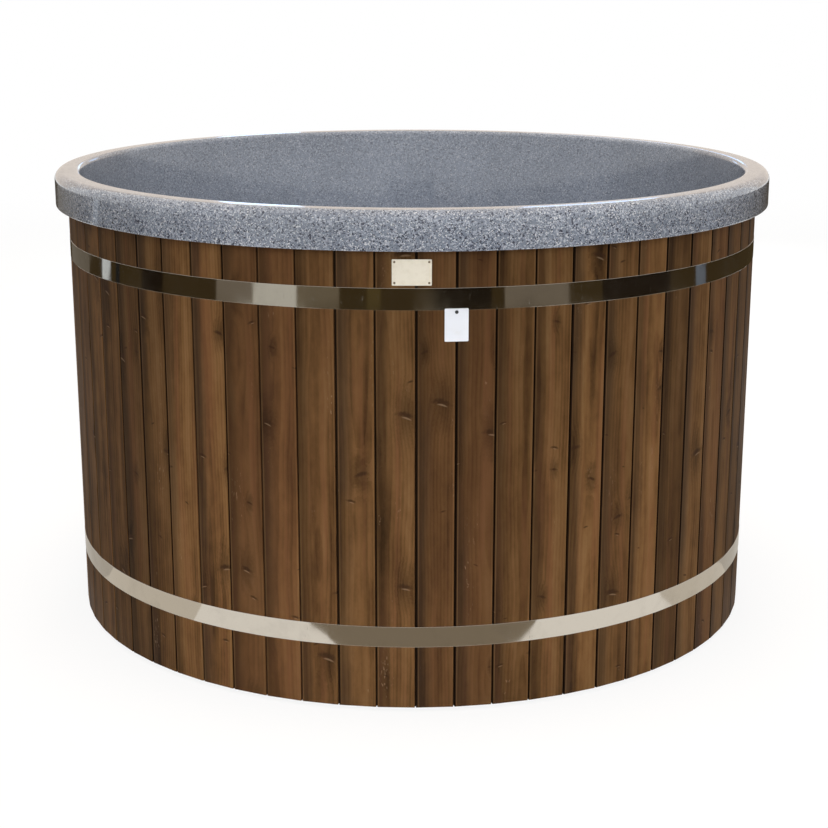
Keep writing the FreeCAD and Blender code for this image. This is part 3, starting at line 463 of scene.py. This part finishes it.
def staveWood(plan):
    finish, tree, shader, spot = newFinish("staveWood", Specular_IOR_Level=plan["gloss"])
    tones = {name: solid(tone) for name, tone in plan["tones"].items()}
    where = placeGroup(tree, staveSpot, Spot=spot)
    across, seed, seam = where["Across"], where["Seed"], where["Seam"]
    figures = [
        placeGroup(
            tree, pineFigure, Across=across, Depth=where["Depth"], Along=where["Along"],
            Seed=calc(tree, "FRACT", plus(tree, seed, knot["shift"])),
            Ring_Width=plan["ringWidth"], Knot_Size=knot["size"], Knot_Share=knot["share"],
        )
        for knot in plan["knots"]
    ]
    figure, small = figures
    shares = [times(tree, figure[name], weight) for name, weight in plan["mix"].items()]
    mixed = shares[0]
    for share in shares[1:]:
        mixed = plus(tree, mixed, share)
    colour = ramp(tree, mixed, [(step, plan["tones"][name]) for name, step in plan["steps"].items()])
    colour = blend(tree, remap(tree, small["Streak"], *plan["redStreak"]), colour, tones["red"])
    warm = calc(tree, "FRACT", times(tree, seed, plan["redTurns"]))
    colour = blend(tree, remap(tree, warm, *plan["redBoard"], False), colour, tones["red"])
    # painted shade: a patchy greyer strip down the left half of each board, stronger on some boards
    greyShadeStrip = times(
        tree, remap(tree, across, *plan["greyShadeSide"]), remap(tree, small["Tone"], *plan["greyPatch"]),
    )
    greyShadeStrip = times(tree, greyShadeStrip, spread(tree, seam, *plan["greyBoard"]))
    colour = blend(tree, greyShadeStrip, colour, tones["shadeGrey"])
    # every board is lighter or darker as a whole, and has painted shade down its left edge, as on a rounded
    # face lit from the right
    sway = times(tree, minus(tree, small["Cloud"], 0.5), plan["leftShadeSway"])
    left = remap(tree, plus(tree, across, sway), *plan["leftEdgeShade"])
    shade = times(tree, spread(tree, where["Level"], *plan["level"]), left)
    shade = times(tree, shade, spread(tree, figure["Halo"], *plan["halo"]))
    colour = blend(tree, 1.0, colour, greyOf(tree, shade), "MULTIPLY")
    heart = blend(tree, figure["Fibre"], tones["knot"], tones["heart"])
    for pine, knot in zip(figures, plan["knots"]):
        colour = blend(tree, times(tree, pine["Knot"], knot["cover"]), colour, heart)
        # painted highlight: a pale tick by each knot; the pale flecks, the wood's own, share its colour
        tick, fleck = times(tree, pine["TickHighlight"], plan["tick"]), times(tree, pine["Fleck"], plan["fleck"])
        colour = blend(tree, calc(tree, "MAXIMUM", tick, fleck), colour, tones["tick"])
    # edges: a dark joint painted as shade in the gap, wider down each board's left edge, and a painted
    # highlight on the arris beside it
    edge = calc(tree, "ABSOLUTE", across)
    depth = times(tree, spread(tree, seam, *plan["joint"]), remap(tree, across, *plan["jointSide"]))
    start = minus(tree, plan["halfBoard"], depth)
    wearAndHighlight = calc(tree, "ABSOLUTE", minus(tree, edge, minus(tree, start, plan["arris"])))
    wearAndHighlight = remap(tree, wearAndHighlight, *plan["arrisFade"])
    wearAndHighlight = times(tree, wearAndHighlight, remap(tree, small["Streak"], *plan["arrisPatch"]))
    wearAndHighlight = times(tree, wearAndHighlight, remap(tree, across, *plan["arrisSide"]))
    colour = blend(tree, wearAndHighlight, colour, tones["pale"])
    dark = remap(tree, edge, start, plus(tree, start, plan["jointFade"]), 0.0, plan["jointCover"])
    feed(tree, shader["Base Color"], blend(tree, dark, colour, tones["seam"]))
    feed(tree, shader["Roughness"], remap(tree, figure["Fibre"], *plan["rough"], False))
    height = times(tree, figure["Fibre"], plan["raised"])
    height = minus(tree, height, times(tree, figure["Ring"], plan["ringDip"]))
    height = minus(tree, height, times(tree, figure["Knot"], plan["knotDip"]))
    feed(tree, shader["Normal"], bump(tree, height, *plan["bump"]))
    return finish


# plain pine under and inside the tub
plainPine = dict(
    light=(0.48, 0.33, 0.19), dark=(0.30, 0.185, 0.09), knot=(0.10, 0.05, 0.025), lane=0.15, depth=0.87,
    ringWidth=0.006, knotSize=0.012, knotShare=0.5, rough=(0.2, 0.8, 0.6, 0.8), bump=(0.3, 0.0008),
)


def baseWood(plan):
    finish, tree, shader, spot = newFinish("baseWood")
    x, y, z = splitAxes(tree, spot)
    lane = calc(tree, "FLOOR", over(tree, x, plan["lane"]))
    figure = placeGroup(
        tree, pineFigure, Across=x, Depth=plus(tree, z, plan["depth"]), Along=y, Seed=chanceOf(tree, lane),
        Ring_Width=plan["ringWidth"], Knot_Size=plan["knotSize"], Knot_Share=plan["knotShare"],
    )
    streak = plus(tree, times(tree, figure["Ring"], 0.5), times(tree, figure["Fibre"], 0.5))
    colour = blend(tree, streak, solid(plan["light"]), solid(plan["dark"]))
    feed(tree, shader["Base Color"], blend(tree, figure["Knot"], colour, solid(plan["knot"])))
    feed(tree, shader["Roughness"], remap(tree, figure["Fibre"], *plan["rough"], False))
    feed(tree, shader["Normal"], bump(tree, streak, *plan["bump"]))
    return finish


# steel: the bands are polished, the fasteners plain, the plate's pins brown with age
steels = dict(
    polishedSteel=dict(colour=(0.58, 0.535, 0.46), rough=(0.05, 0.10), wave=9.0, grain=1200.0),
    plainSteel=dict(colour=(0.52, 0.51, 0.49), rough=(0.18, 0.32), wave=60.0, grain=900.0),
    agedSteel=dict(colour=(0.20, 0.15, 0.105), rough=(0.40, 0.58), wave=60.0, grain=900.0),
)
steelMarks = dict(
    patch=14.0, stain=(0.45, 0.75, 0.0, 0.35), dull=0.78, scratch=0.25, scratchRough=0.10,
    grain=0.02, bump=(0.10, 0.002),
)


def steelFinish(name, plan, wear):
    finish, tree, shader, spot = newFinish(name, Metallic=1.0)
    marks = placeGroup(tree, handled, Spot=spot, Grain=plan["grain"], Patch=wear["patch"])
    dull = solid(wear["dull"] * part for part in plan["colour"])
    tint = blend(tree, remap(tree, marks["Patch"], *wear["stain"]), solid(plan["colour"]), dull)
    scratch = times(tree, marks["Scratch"], wear["scratch"])
    feed(tree, shader["Base Color"], blend(tree, scratch, tint, dull))
    rough = remap(tree, marks["Patch"], *middle, *plan["rough"])
    rough = plus(tree, rough, times(tree, marks["Scratch"], wear["scratchRough"]))
    feed(tree, shader["Roughness"], rough)
    height = plus(tree, noise(tree, spot, plan["wave"], 1.0), times(tree, marks["Grain"], wear["grain"]))
    feed(tree, shader["Normal"], bump(tree, height, *wear["bump"]))
    return finish


# moulded plastics and rubber, one dictionary each
mouldings = {
    "black_plastic": dict(
        colour=(0.028, 0.028, 0.030), pale=(0.050, 0.050, 0.052), rough=(0.36, 0.52), grain=700.0,
    ),
    "grey_plastic": dict(
        colour=(0.26, 0.27, 0.28), pale=(0.32, 0.33, 0.34), rough=(0.34, 0.50), grain=700.0,
    ),
    "white_plastic": dict(
        colour=(0.72, 0.72, 0.69), pale=(0.82, 0.82, 0.80), rough=(0.30, 0.45), grain=700.0,
    ),
    "red_plastic": dict(
        colour=(0.42, 0.022, 0.020), pale=(0.52, 0.050, 0.042), rough=(0.28, 0.44), grain=600.0,
    ),
    "black_rubber": dict(
        colour=(0.020, 0.020, 0.021), pale=(0.044, 0.043, 0.042), rough=(0.62, 0.82), grain=900.0,
    ),
    "foam": dict(
        colour=(0.62, 0.58, 0.44), pale=(0.76, 0.72, 0.58), rough=(0.85, 0.95), grain=420.0,
    ),
}
mouldMarks = dict(patch=22.0, rubbed=(0.35, 0.75, 0.0, 0.6), scratch=0.4, bump=(0.18, 0.0006))


def mouldedFinish(name, plan, wear):
    finish, tree, shader, spot = newFinish(name)
    marks = placeGroup(tree, handled, Spot=spot, Grain=plan["grain"], Patch=wear["patch"])
    rubbed = remap(tree, marks["Patch"], *wear["rubbed"])
    share = plus(tree, rubbed, times(tree, marks["Scratch"], wear["scratch"]))
    feed(tree, shader["Base Color"], blend(tree, share, solid(plan["colour"]), solid(plan["pale"])))
    feed(tree, shader["Roughness"], remap(tree, marks["Patch"], *middle, *plan["rough"]))
    feed(tree, shader["Normal"], bump(tree, marks["Grain"], *wear["bump"]))
    return finish


# enamelled plate and card tag
plateTone = dict(
    face=(0.64, 0.588, 0.490), wearAndHighlight=(0.53, 0.468, 0.362), wornFrom=(0.42, 0.8, 0.0, 0.6), rough=(0.32, 0.46),
    speck=(0.20, 0.13, 0.07), speckScale=380.0, speckFrom=(0.70, 0.76, 0.0, 0.5),
    grain=500.0, patch=60.0, bump=(0.15, 0.0008),
)
cardTone = dict(
    face=(0.655, 0.670, 0.720), wearAndHighlight=(0.60, 0.60, 0.60), wornFrom=(0.5, 0.8, 0.0, 0.5), rough=(0.42, 0.58),
    grain=1400.0, patch=40.0, bump=(0.15, 0.0003),
)


def ivoryPlate(plan):
    finish, tree, shader, spot = newFinish("ivoryPlate")
    marks = placeGroup(tree, handled, Spot=spot, Grain=plan["grain"], Patch=plan["patch"])
    wearAndHighlight = remap(tree, marks["Patch"], *plan["wornFrom"])
    colour = blend(tree, wearAndHighlight, solid(plan["face"]), solid(plan["wearAndHighlight"]))
    speck = remap(tree, noise(tree, spot, plan["speckScale"], 2.0, 0.7), *plan["speckFrom"])
    feed(tree, shader["Base Color"], blend(tree, speck, colour, solid(plan["speck"])))
    feed(tree, shader["Roughness"], remap(tree, marks["Patch"], *middle, *plan["rough"]))
    feed(tree, shader["Normal"], bump(tree, marks["Patch"], *plan["bump"]))
    return finish


def whiteCard(plan):
    finish, tree, shader, spot = newFinish("whiteCard")
    marks = placeGroup(tree, handled, Spot=spot, Grain=plan["grain"], Patch=plan["patch"])
    wearAndHighlight = remap(tree, marks["Patch"], *plan["wornFrom"])
    feed(tree, shader["Base Color"], blend(tree, wearAndHighlight, solid(plan["face"]), solid(plan["wearAndHighlight"])))
    feed(tree, shader["Roughness"], remap(tree, marks["Patch"], *middle, *plan["rough"]))
    feed(tree, shader["Normal"], bump(tree, marks["Grain"], *plan["bump"]))
    return finish


steel = {name: steelFinish(name, plan, steelMarks) for name, plan in steels.items()}
finishes = {
    "speckled_shell": speckledShell(speckle),
    "stave_wood": staveWood(boards),
    "base_wood": baseWood(plainPine),
    "polished_steel": steel["polishedSteel"],
    "plain_steel": steel["plainSteel"],
    "ivory_plate": ivoryPlate(plateTone),
    "white_card": whiteCard(cardTone),
}
for slot, plan in mouldings.items():
    finishes[slot] = mouldedFinish(slot, plan, mouldMarks)
for name, node in nodes.items():
    node.data.materials.clear()
    node.data.materials.append(finishes[slotOf[name]])
nodes["name_plate_pins"].data.materials[0] = steel["agedSteel"]
print("finishes ready:", len(finishes))


# helpers for meshes
def meshObject(name, bm):
    mesh = bpy.data.meshes.new(name)
    bm.to_mesh(mesh)
    bm.free()
    thing = bpy.data.objects.new(name, mesh)
    bpy.context.scene.collection.objects.link(thing)
    return thing


def smoothOver(piece, sharp):
    piece.data.shade_smooth()
    piece.data.set_sharp_from_angle(angle=math.radians(sharp))


# every new piece: mesh from a bmesh, smooth with sharp corners, riding on its body
def newPiece(name, bm, body, slot, *replaced):
    bmesh.ops.remove_doubles(bm, verts=bm.verts, dist=tub["weld"])
    piece = meshObject(name, bm)
    piece.data.materials.append(finishes[slot])
    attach(piece, body)
    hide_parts(*replaced)
    smoothOver(piece, tub["sharp"])
    return piece


def turnOutward(bm, axis):  # the face farthest along the axis has to look that way
    bmesh.ops.recalc_face_normals(bm, faces=bm.faces)
    face = max(bm.faces, key=lambda f: f.calc_center_median()[axis])
    if face.normal[axis] < 0:
        bmesh.ops.reverse_faces(bm, faces=bm.faces)


def settle(piece, sharp):  # applies the piece's modifiers
    shape = bpy.data.meshes.new_from_object(piece.evaluated_get(bpy.context.evaluated_depsgraph_get()))
    piece.modifiers.clear()
    piece.data = shape
    smoothOver(piece, sharp)


def giveWall(piece, thickness, side, edge, steps, sharp):  # a wall with rounded edges
    wall = piece.modifiers.new("wall", "SOLIDIFY")
    wall.thickness, wall.offset, wall.use_even_offset = thickness, side, True
    arris = piece.modifiers.new("arris", "BEVEL")
    arris.width, arris.segments = edge, steps
    arris.limit_method, arris.angle_limit = "ANGLE", math.radians(60)
    settle(piece, sharp)


def joinRod(piece, mode, radius, near, away, level, sides=96):  # fuses or cuts a round bar that lies along Y
    bm = bmesh.new()
    bmesh.ops.create_cone(
        bm, cap_ends=True, segments=sides, radius1=radius, radius2=radius, depth=away - near,
        matrix=Matrix.Translation((0, (near + away) / 2, level)) @ Matrix.Rotation(math.pi / 2, 4, "X"),
    )
    rod = meshObject("rod", bm)
    cut = piece.modifiers.new("rod", "BOOLEAN")
    cut.operation, cut.solver, cut.object = mode, "EXACT", rod
    settle(piece, tub["sharp"])
    bpy.data.objects.remove(rod)


# Shell: one profile with rounded corners, turned about the tub's axis and given its wall.
shellPlan = dict(
    rimOuter=0.900, rimInner=0.838, lip=0.085, lipHold=0.005, wall=0.007, draft=4.5, bench=0.548,
    footwell=0.480, wellDraft=4.0, floor=0.130, sump=0.078, sumpDepth=0.006, drain=0.037, steps=256, arcs=9,
    rounds=(0.022, 0.012, 0.045, 0.035, 0.060), lipRound=0.0025, lipSteps=3,
    pads=((0.7973, 0.8170, 0.680), (0.4544, 0.4746, 0.280)),  # inner end, outer end and height
    padRadius=0.062, bore=0.0309, boreReach=0.03,
)


def shellPiece(plan):
    lean, soft = math.radians(plan["draft"]), plan["rounds"][1]
    tilt, well = math.tan(lean), math.tan(math.radians(plan["wellDraft"]))
    top, bench, floor = tub["top"], plan["bench"], plan["floor"]
    lipLow, sumpLow = top - plan["lip"], floor - plan["sumpDepth"]
    # where the rim's inner round runs into the drafted wall
    touchX = plan["rimInner"] + soft - soft * math.cos(lean)
    touchZ = top - soft + soft * math.sin(lean)
    corners = [
        (plan["rimOuter"], lipLow),
        (plan["rimOuter"], lipLow + plan["lipHold"]),
        (plan["rimOuter"], top),
        (touchX + (top - touchZ) * tilt, top),
        (touchX - (touchZ - bench) * tilt, bench),
        (plan["footwell"], bench),
        (plan["footwell"] - (bench - floor) * well, floor),
        (plan["sump"] + plan["sumpDepth"], floor),
        (plan["sump"], sumpLow),
        (plan["drain"], sumpLow),
    ]
    bm = bmesh.new()
    spots = [bm.verts.new((r, 0, z)) for r, z in corners]
    for a, b in zip(spots, spots[1:]):
        bm.edges.new((a, b))
    for vert, radius in zip(spots[2:7], plan["rounds"]):
        legs = [(e.other_vert(vert).co - vert.co) for e in vert.link_edges]
        turn = math.pi - legs[0].angle(legs[1])
        bmesh.ops.bevel(
            bm, geom=[vert], offset=radius * math.tan(turn / 2), offset_type="OFFSET", segments=plan["arcs"],
            profile=0.5, affect="VERTICES", material=-1,
        )
    bmesh.ops.spin(
        bm, geom=bm.verts[:] + bm.edges[:], cent=(0, 0, 0), axis=(0, 0, 1), angle=2 * math.pi,
        steps=plan["steps"], use_merge=True,
    )
    bmesh.ops.remove_doubles(bm, verts=bm.verts, dist=tub["weld"])
    turnOutward(bm, 2)
    piece = newPiece("tubShell", bm, "tub", "speckled_shell", "tub_shell")
    giveWall(piece, plan["wall"], -1.0, plan["lipRound"], plan["lipSteps"], tub["sharp"])
    pads, bores = ("UNION", plan["padRadius"], 0.0), ("DIFFERENCE", plan["bore"], plan["boreReach"])
    for mode, radius, reach in (pads, bores):
        for near, away, level in plan["pads"]:
            joinRod(piece, mode, radius, near - reach, away + reach, level)
    return piece


shell = shellPiece(shellPlan)
print("shell:", len(shell.data.polygons), "faces")


# Bands: a strip bent softly at each seam, open between its tension lugs.
bandPlan = dict(
    height=0.0475, thickness=0.001, bend=0.026, bendSteps=6, gap=0.024, edge=0.0008, edgeSteps=2,
    sharp=18.0, openBoard=27,
)
bandLevels = dict(upperBand=("upper_band", 0.9374), lowerBand=("lower_band", 0.1767))


def bandPiece(name, node, level, plan):
    bm = bmesh.new()
    seamRadius = tub["staveRadius"] / math.cos(pitch / 2)
    bmesh.ops.create_circle(
        bm, segments=tub["staveCount"], radius=seamRadius,
        matrix=Matrix.Translation((0, 0, level - plan["height"] / 2)) @ Matrix.Rotation(math.pi, 4, "Z"),
    )
    # the board behind the tension lugs, where the strip stays open
    turn = (plan["openBoard"] + 0.5) * pitch - math.pi / 2
    aim = Vector((math.cos(turn), math.sin(turn), 0))
    facet = max(bm.edges, key=lambda e: (e.verts[0].co + e.verts[1].co).dot(aim))
    bends = bm.verts[:]
    share = 0.5 - plan["gap"] / 2 / facet.calc_length()
    first, near = bmesh.utils.edge_split(facet, facet.verts[0], share)
    rest = [e for e in near.link_edges if e is not first][0]
    cut = bmesh.utils.edge_split(rest, near, plan["gap"] / rest.calc_length())[0]
    bmesh.ops.delete(bm, geom=[cut], context="EDGES")
    bmesh.ops.bevel(
        bm, geom=bends, offset=plan["bend"], offset_type="OFFSET", segments=plan["bendSteps"], profile=0.5,
        affect="VERTICES", material=-1,
    )
    grown = bmesh.ops.extrude_edge_only(bm, edges=bm.edges[:])["geom"]
    raised = [g for g in grown if isinstance(g, bmesh.types.BMVert)]
    bmesh.ops.translate(bm, verts=raised, vec=(0, 0, plan["height"]))
    turnOutward(bm, 0)
    piece = newPiece(name, bm, "tub", "polished_steel", node)
    giveWall(piece, plan["thickness"], 1.0, plan["edge"], plan["edgeSteps"], plan["sharp"])
    return piece


for name, (node, level) in bandLevels.items():
    band = bandPiece(name, node, level, bandPlan)
    print(name + ":", len(band.data.polygons), "faces")


# Studio: a pale floor that keeps the shadow, and soft lamps all round, none of them mirrored.
light = dict(
    cool=(0.89, 0.95, 1.0), soft=(1.0, 0.98, 0.95), warm=(1.0, 0.97, 0.93), amber=(1.0, 0.875, 0.745),
)
studio = dict(
    floorSize=14.0, floorDrop=0.0006, floorTone=0.86, floorGlow=0.86, fadeFrom=2.6, fadeTo=9.0, air=0.17,
    lamps=(  # aim is a height on the tub's axis, spread is in degrees
        dict(name="frontLamp", place=(0.2, -9.5, 4.5), aim=0.8, size=4.6, power=580.0, colour="cool"),
        dict(
            name="lowLamp", place=(-0.1, -4.6, 0.22), aim=-0.06, size=1.2, power=3.0, colour="soft",
            spread=28,
        ),
        dict(name="leftLamp", place=(-5.4, -1.8, 0.8), aim=0.5, size=1.5, power=9.0, colour="warm"),
        dict(name="rightLamp", place=(5.4, -2.6, 0.9), aim=0.6, size=1.5, power=26.0, colour="warm"),
        dict(name="rearLamp", place=(0.6, 5.8, 1.7), aim=0.6, size=2.6, power=140.0, colour="soft"),
        dict(name="topLamp", place=(0.0, -0.6, 13.0), aim=0.6, size=6.0, power=1700.0, colour="amber"),
    ),
)

# dark cloth round the set with cards on it, and a darker disc in front: only gloss and steel pick them up
cloth = dict(inner=3.7, outer=13.0, step=5.25, lift=0.002, arc=4.0, tone=(0.0504, 0.0348, 0.0156))
cards = (  # outer ring, angles from the front towards +X
    dict(name="edgeCard", start=-150, end=-123, tone=(0.16, 0.14, 0.112)),
    dict(name="leftSlat", start=-113, end=-110, tone=(0.75, 0.82, 0.90)),
    dict(name="darkSlat", start=-105, end=-102, tone=(0.016, 0.017, 0.018)),
    dict(name="leftBlack", start=-90, end=-81, tone=(0.010, 0.006, 0.003)),
    dict(name="greyCard", start=-61, end=-48, tone=(0.20, 0.172, 0.14)),
    dict(name="paleCard", start=-48, end=-34, tone=(0.62, 0.62, 0.59)),
    dict(name="brownCard", start=-34, end=-21, tone=(0.18, 0.15, 0.105)),
    dict(name="middleSlat", start=-14, end=-9, tone=(0.095, 0.070, 0.028)),
    dict(name="blackCard", start=6, end=22, tone=(0.016, 0.012, 0.008)),
    dict(name="rightCard", start=27, end=46, tone=(0.20, 0.172, 0.138)),
    dict(name="rightBlack", start=57, end=85, tone=(0.017, 0.012, 0.008)),
    dict(name="blueSlat", start=98, end=101, tone=(0.16, 0.19, 0.25)),
)
roomCards = dict(  # inner ring, scattered
    seed=11, until=335, gap=(12, 46), width=(4, 26),
    tones=((0.58, 0.58, 0.55), (0.18, 0.155, 0.125), (0.11, 0.088, 0.055), (0.30, 0.27, 0.22)),
)
# close to the tub, for the lower band: paper strips at its ends and a darker round disc in front
sheets = dict(
    inner=0.95, outer=2.3, tint=(1.0, 0.94, 0.85),
    strips=((-125, -82, 0.54), (-82, -49, 0.74), (60, 86, 0.74), (86, 125, 0.55)),
)
floorDisc = dict(place=(0.11, -2.42), radius=1.32, sides=96, tone=(0.275, 0.230, 0.175))
panes = (  # upright behind the tub, for the rim
    dict(name="backPane", low=(-8.0, 0.7), high=(8.0, 6.0), away=7.5, tone=(0.83, 0.735, 0.65)),
    dict(name="leftPane", low=(-1.1, 1.45), high=(-0.62, 2.45), away=6.0, tone=(1.5, 1.9, 2.6)),
    dict(name="rightPane", low=(0.75, 2.25), high=(1.6, 3.10), away=6.0, tone=(1.4, 1.9, 2.8)),
)


def seenDirectly(tree):
    path = tree.nodes.new("ShaderNodeLightPath").outputs
    seen = calc(tree, "MAXIMUM", path["Is Camera Ray"], path["Is Glossy Ray"])
    return calc(tree, "MAXIMUM", seen, path["Is Transmission Ray"])


def stageMesh(name, bm, finish):
    thing = meshObject(name, bm)
    thing.data.materials.append(finish)
    return thing


def newPaper(name):
    paper = bpy.data.materials.new(name)
    paper.use_nodes = True
    paper.node_tree.nodes.clear()
    return paper, paper.node_tree


def showSurface(tree, shader):
    out = tree.nodes.new("ShaderNodeOutputMaterial")
    tree.links.new(shader, out.inputs["Surface"])


def mixShaders(tree, share, first, second):
    mix = tree.nodes.new("ShaderNodeMixShader")
    for socket, value in zip(mix.inputs, (share, first, second)):
        tree.links.new(value, socket)
    return mix.outputs[0]


def floorPaper(plan):
    paper, tree = newPaper("floorPaper")
    matt = tree.nodes.new("ShaderNodeBsdfDiffuse")
    matt.inputs["Color"].default_value = solid((plan["floorTone"],) * 3)
    lit = tree.nodes.new("ShaderNodeEmission")
    clear = tree.nodes.new("ShaderNodeBsdfTransparent")
    reach = tree.nodes.new("ShaderNodeVectorMath")
    reach.operation = "LENGTH"
    feed(tree, reach.inputs[0], tree.nodes.new("ShaderNodeTexCoord").outputs["Object"])
    seen = times(tree, seenDirectly(tree), plan["floorGlow"])
    shown = mixShaders(tree, seen, matt.outputs[0], lit.outputs[0])
    fade = remap(tree, reach.outputs["Value"], plan["fadeFrom"], plan["fadeTo"])
    showSurface(tree, mixShaders(tree, fade, shown, clear.outputs[0]))
    return paper


def plainPaper(name, tone):
    paper, tree = newPaper(name)
    lit = tree.nodes.new("ShaderNodeEmission")
    lit.inputs["Color"].default_value = solid(tone)
    showSurface(tree, lit.outputs[0])
    return paper


def glossPiece(name, bm, tone):  # seen in gloss and steel only
    thing = stageMesh(name, bm, plainPaper(name, tone))
    thing.visible_camera = thing.visible_diffuse = thing.visible_shadow = thing.visible_transmission = False


# a flat sector of a ring on the floor
def ringPiece(name, inner, outer, lift, tone, start=-180.0, end=180.0):
    bm = bmesh.new()
    ends = [bm.verts.new((0, -reach, lift)) for reach in (inner, outer)]
    bm.edges.new(ends)
    bmesh.ops.rotate(bm, verts=bm.verts, matrix=Matrix.Rotation(math.radians(start), 3, "Z"))
    bmesh.ops.spin(
        bm, geom=bm.verts[:] + bm.edges[:], axis=(0, 0, 1), angle=math.radians(end - start),
        steps=max(4, round((end - start) / cloth["arc"])), use_merge=end - start >= 360,
    )
    glossPiece(name, bm, tone)


# an upright pane across the back of the set
def panePiece(pane):
    bm = bmesh.new()
    upright = Matrix.Rotation(math.pi / 2, 4, "X")
    bmesh.ops.create_grid(bm, x_segments=1, y_segments=1, size=0.5, matrix=upright)
    (left, bottom), (right, top) = pane["low"], pane["high"]
    bmesh.ops.scale(bm, verts=bm.verts, vec=(right - left, 1, top - bottom))
    centre = ((left + right) / 2, pane["away"], (bottom + top) / 2)
    bmesh.ops.translate(bm, verts=bm.verts, vec=centre)
    glossPiece(pane["name"], bm, pane["tone"])


def buildSet():  # cloth, cards, strips, disc and panes
    near, step, far, lift = cloth["inner"], cloth["step"], cloth["outer"], 2 * cloth["lift"]
    ringPiece("darkCloth", near, far, cloth["lift"], cloth["tone"])
    for card in cards:
        ringPiece(card["name"], step, far, lift, card["tone"], card["start"], card["end"])
    dice = random.Random(roomCards["seed"])
    angle = 0.0
    while angle < roomCards["until"]:
        wide = dice.uniform(*roomCards["width"])
        tone = dice.choice(roomCards["tones"])
        ringPiece(f"roomCard{round(angle)}", near, step, lift, tone, angle, angle + wide)
        angle += wide + dice.uniform(*roomCards["gap"])
    for start, end, shade in sheets["strips"]:
        tone = [shade * part for part in sheets["tint"]]
        ringPiece(f"paperStrip{start}", sheets["inner"], sheets["outer"], lift, tone, start, end)
    bm = bmesh.new()
    bmesh.ops.create_circle(bm, cap_ends=True, segments=floorDisc["sides"], radius=floorDisc["radius"])
    bmesh.ops.translate(bm, verts=bm.verts, vec=(*floorDisc["place"], lift))
    glossPiece("frontDisc", bm, floorDisc["tone"])
    for pane in panes:
        panePiece(pane)


def buildStudio(plan):
    scene = bpy.context.scene
    air = bpy.data.worlds.new("studioAir")
    air.use_nodes = True
    tree = air.node_tree
    glow = tree.nodes["Background"].inputs
    glow["Color"].default_value = (1, 1, 1, 1)
    feed(tree, glow["Strength"], spread(tree, seenDirectly(tree), plan["air"], 1.0))
    scene.world = air

    bm = bmesh.new()
    bmesh.ops.create_grid(bm, x_segments=8, y_segments=8, size=plan["floorSize"])
    bmesh.ops.translate(bm, verts=bm.verts, vec=(0, 0, -plan["floorDrop"]))
    stageMesh("studioFloor", bm, floorPaper(plan))
    buildSet()

    for lamp in plan["lamps"]:
        data = bpy.data.lights.new(lamp["name"], "AREA")
        data.shape, data.size = "DISK", lamp["size"]
        data.energy, data.color = lamp["power"], light[lamp["colour"]]
        data.spread = math.radians(lamp.get("spread", 180))
        holder = bpy.data.objects.new(lamp["name"], data)
        holder.location = lamp["place"]
        aim = Vector((0, 0, lamp["aim"])) - Vector(lamp["place"])
        holder.rotation_euler = aim.to_track_quat("-Z", "Y").to_euler()
        holder.visible_glossy = False
        scene.collection.objects.link(holder)


buildStudio(studio)
print("studio ready")
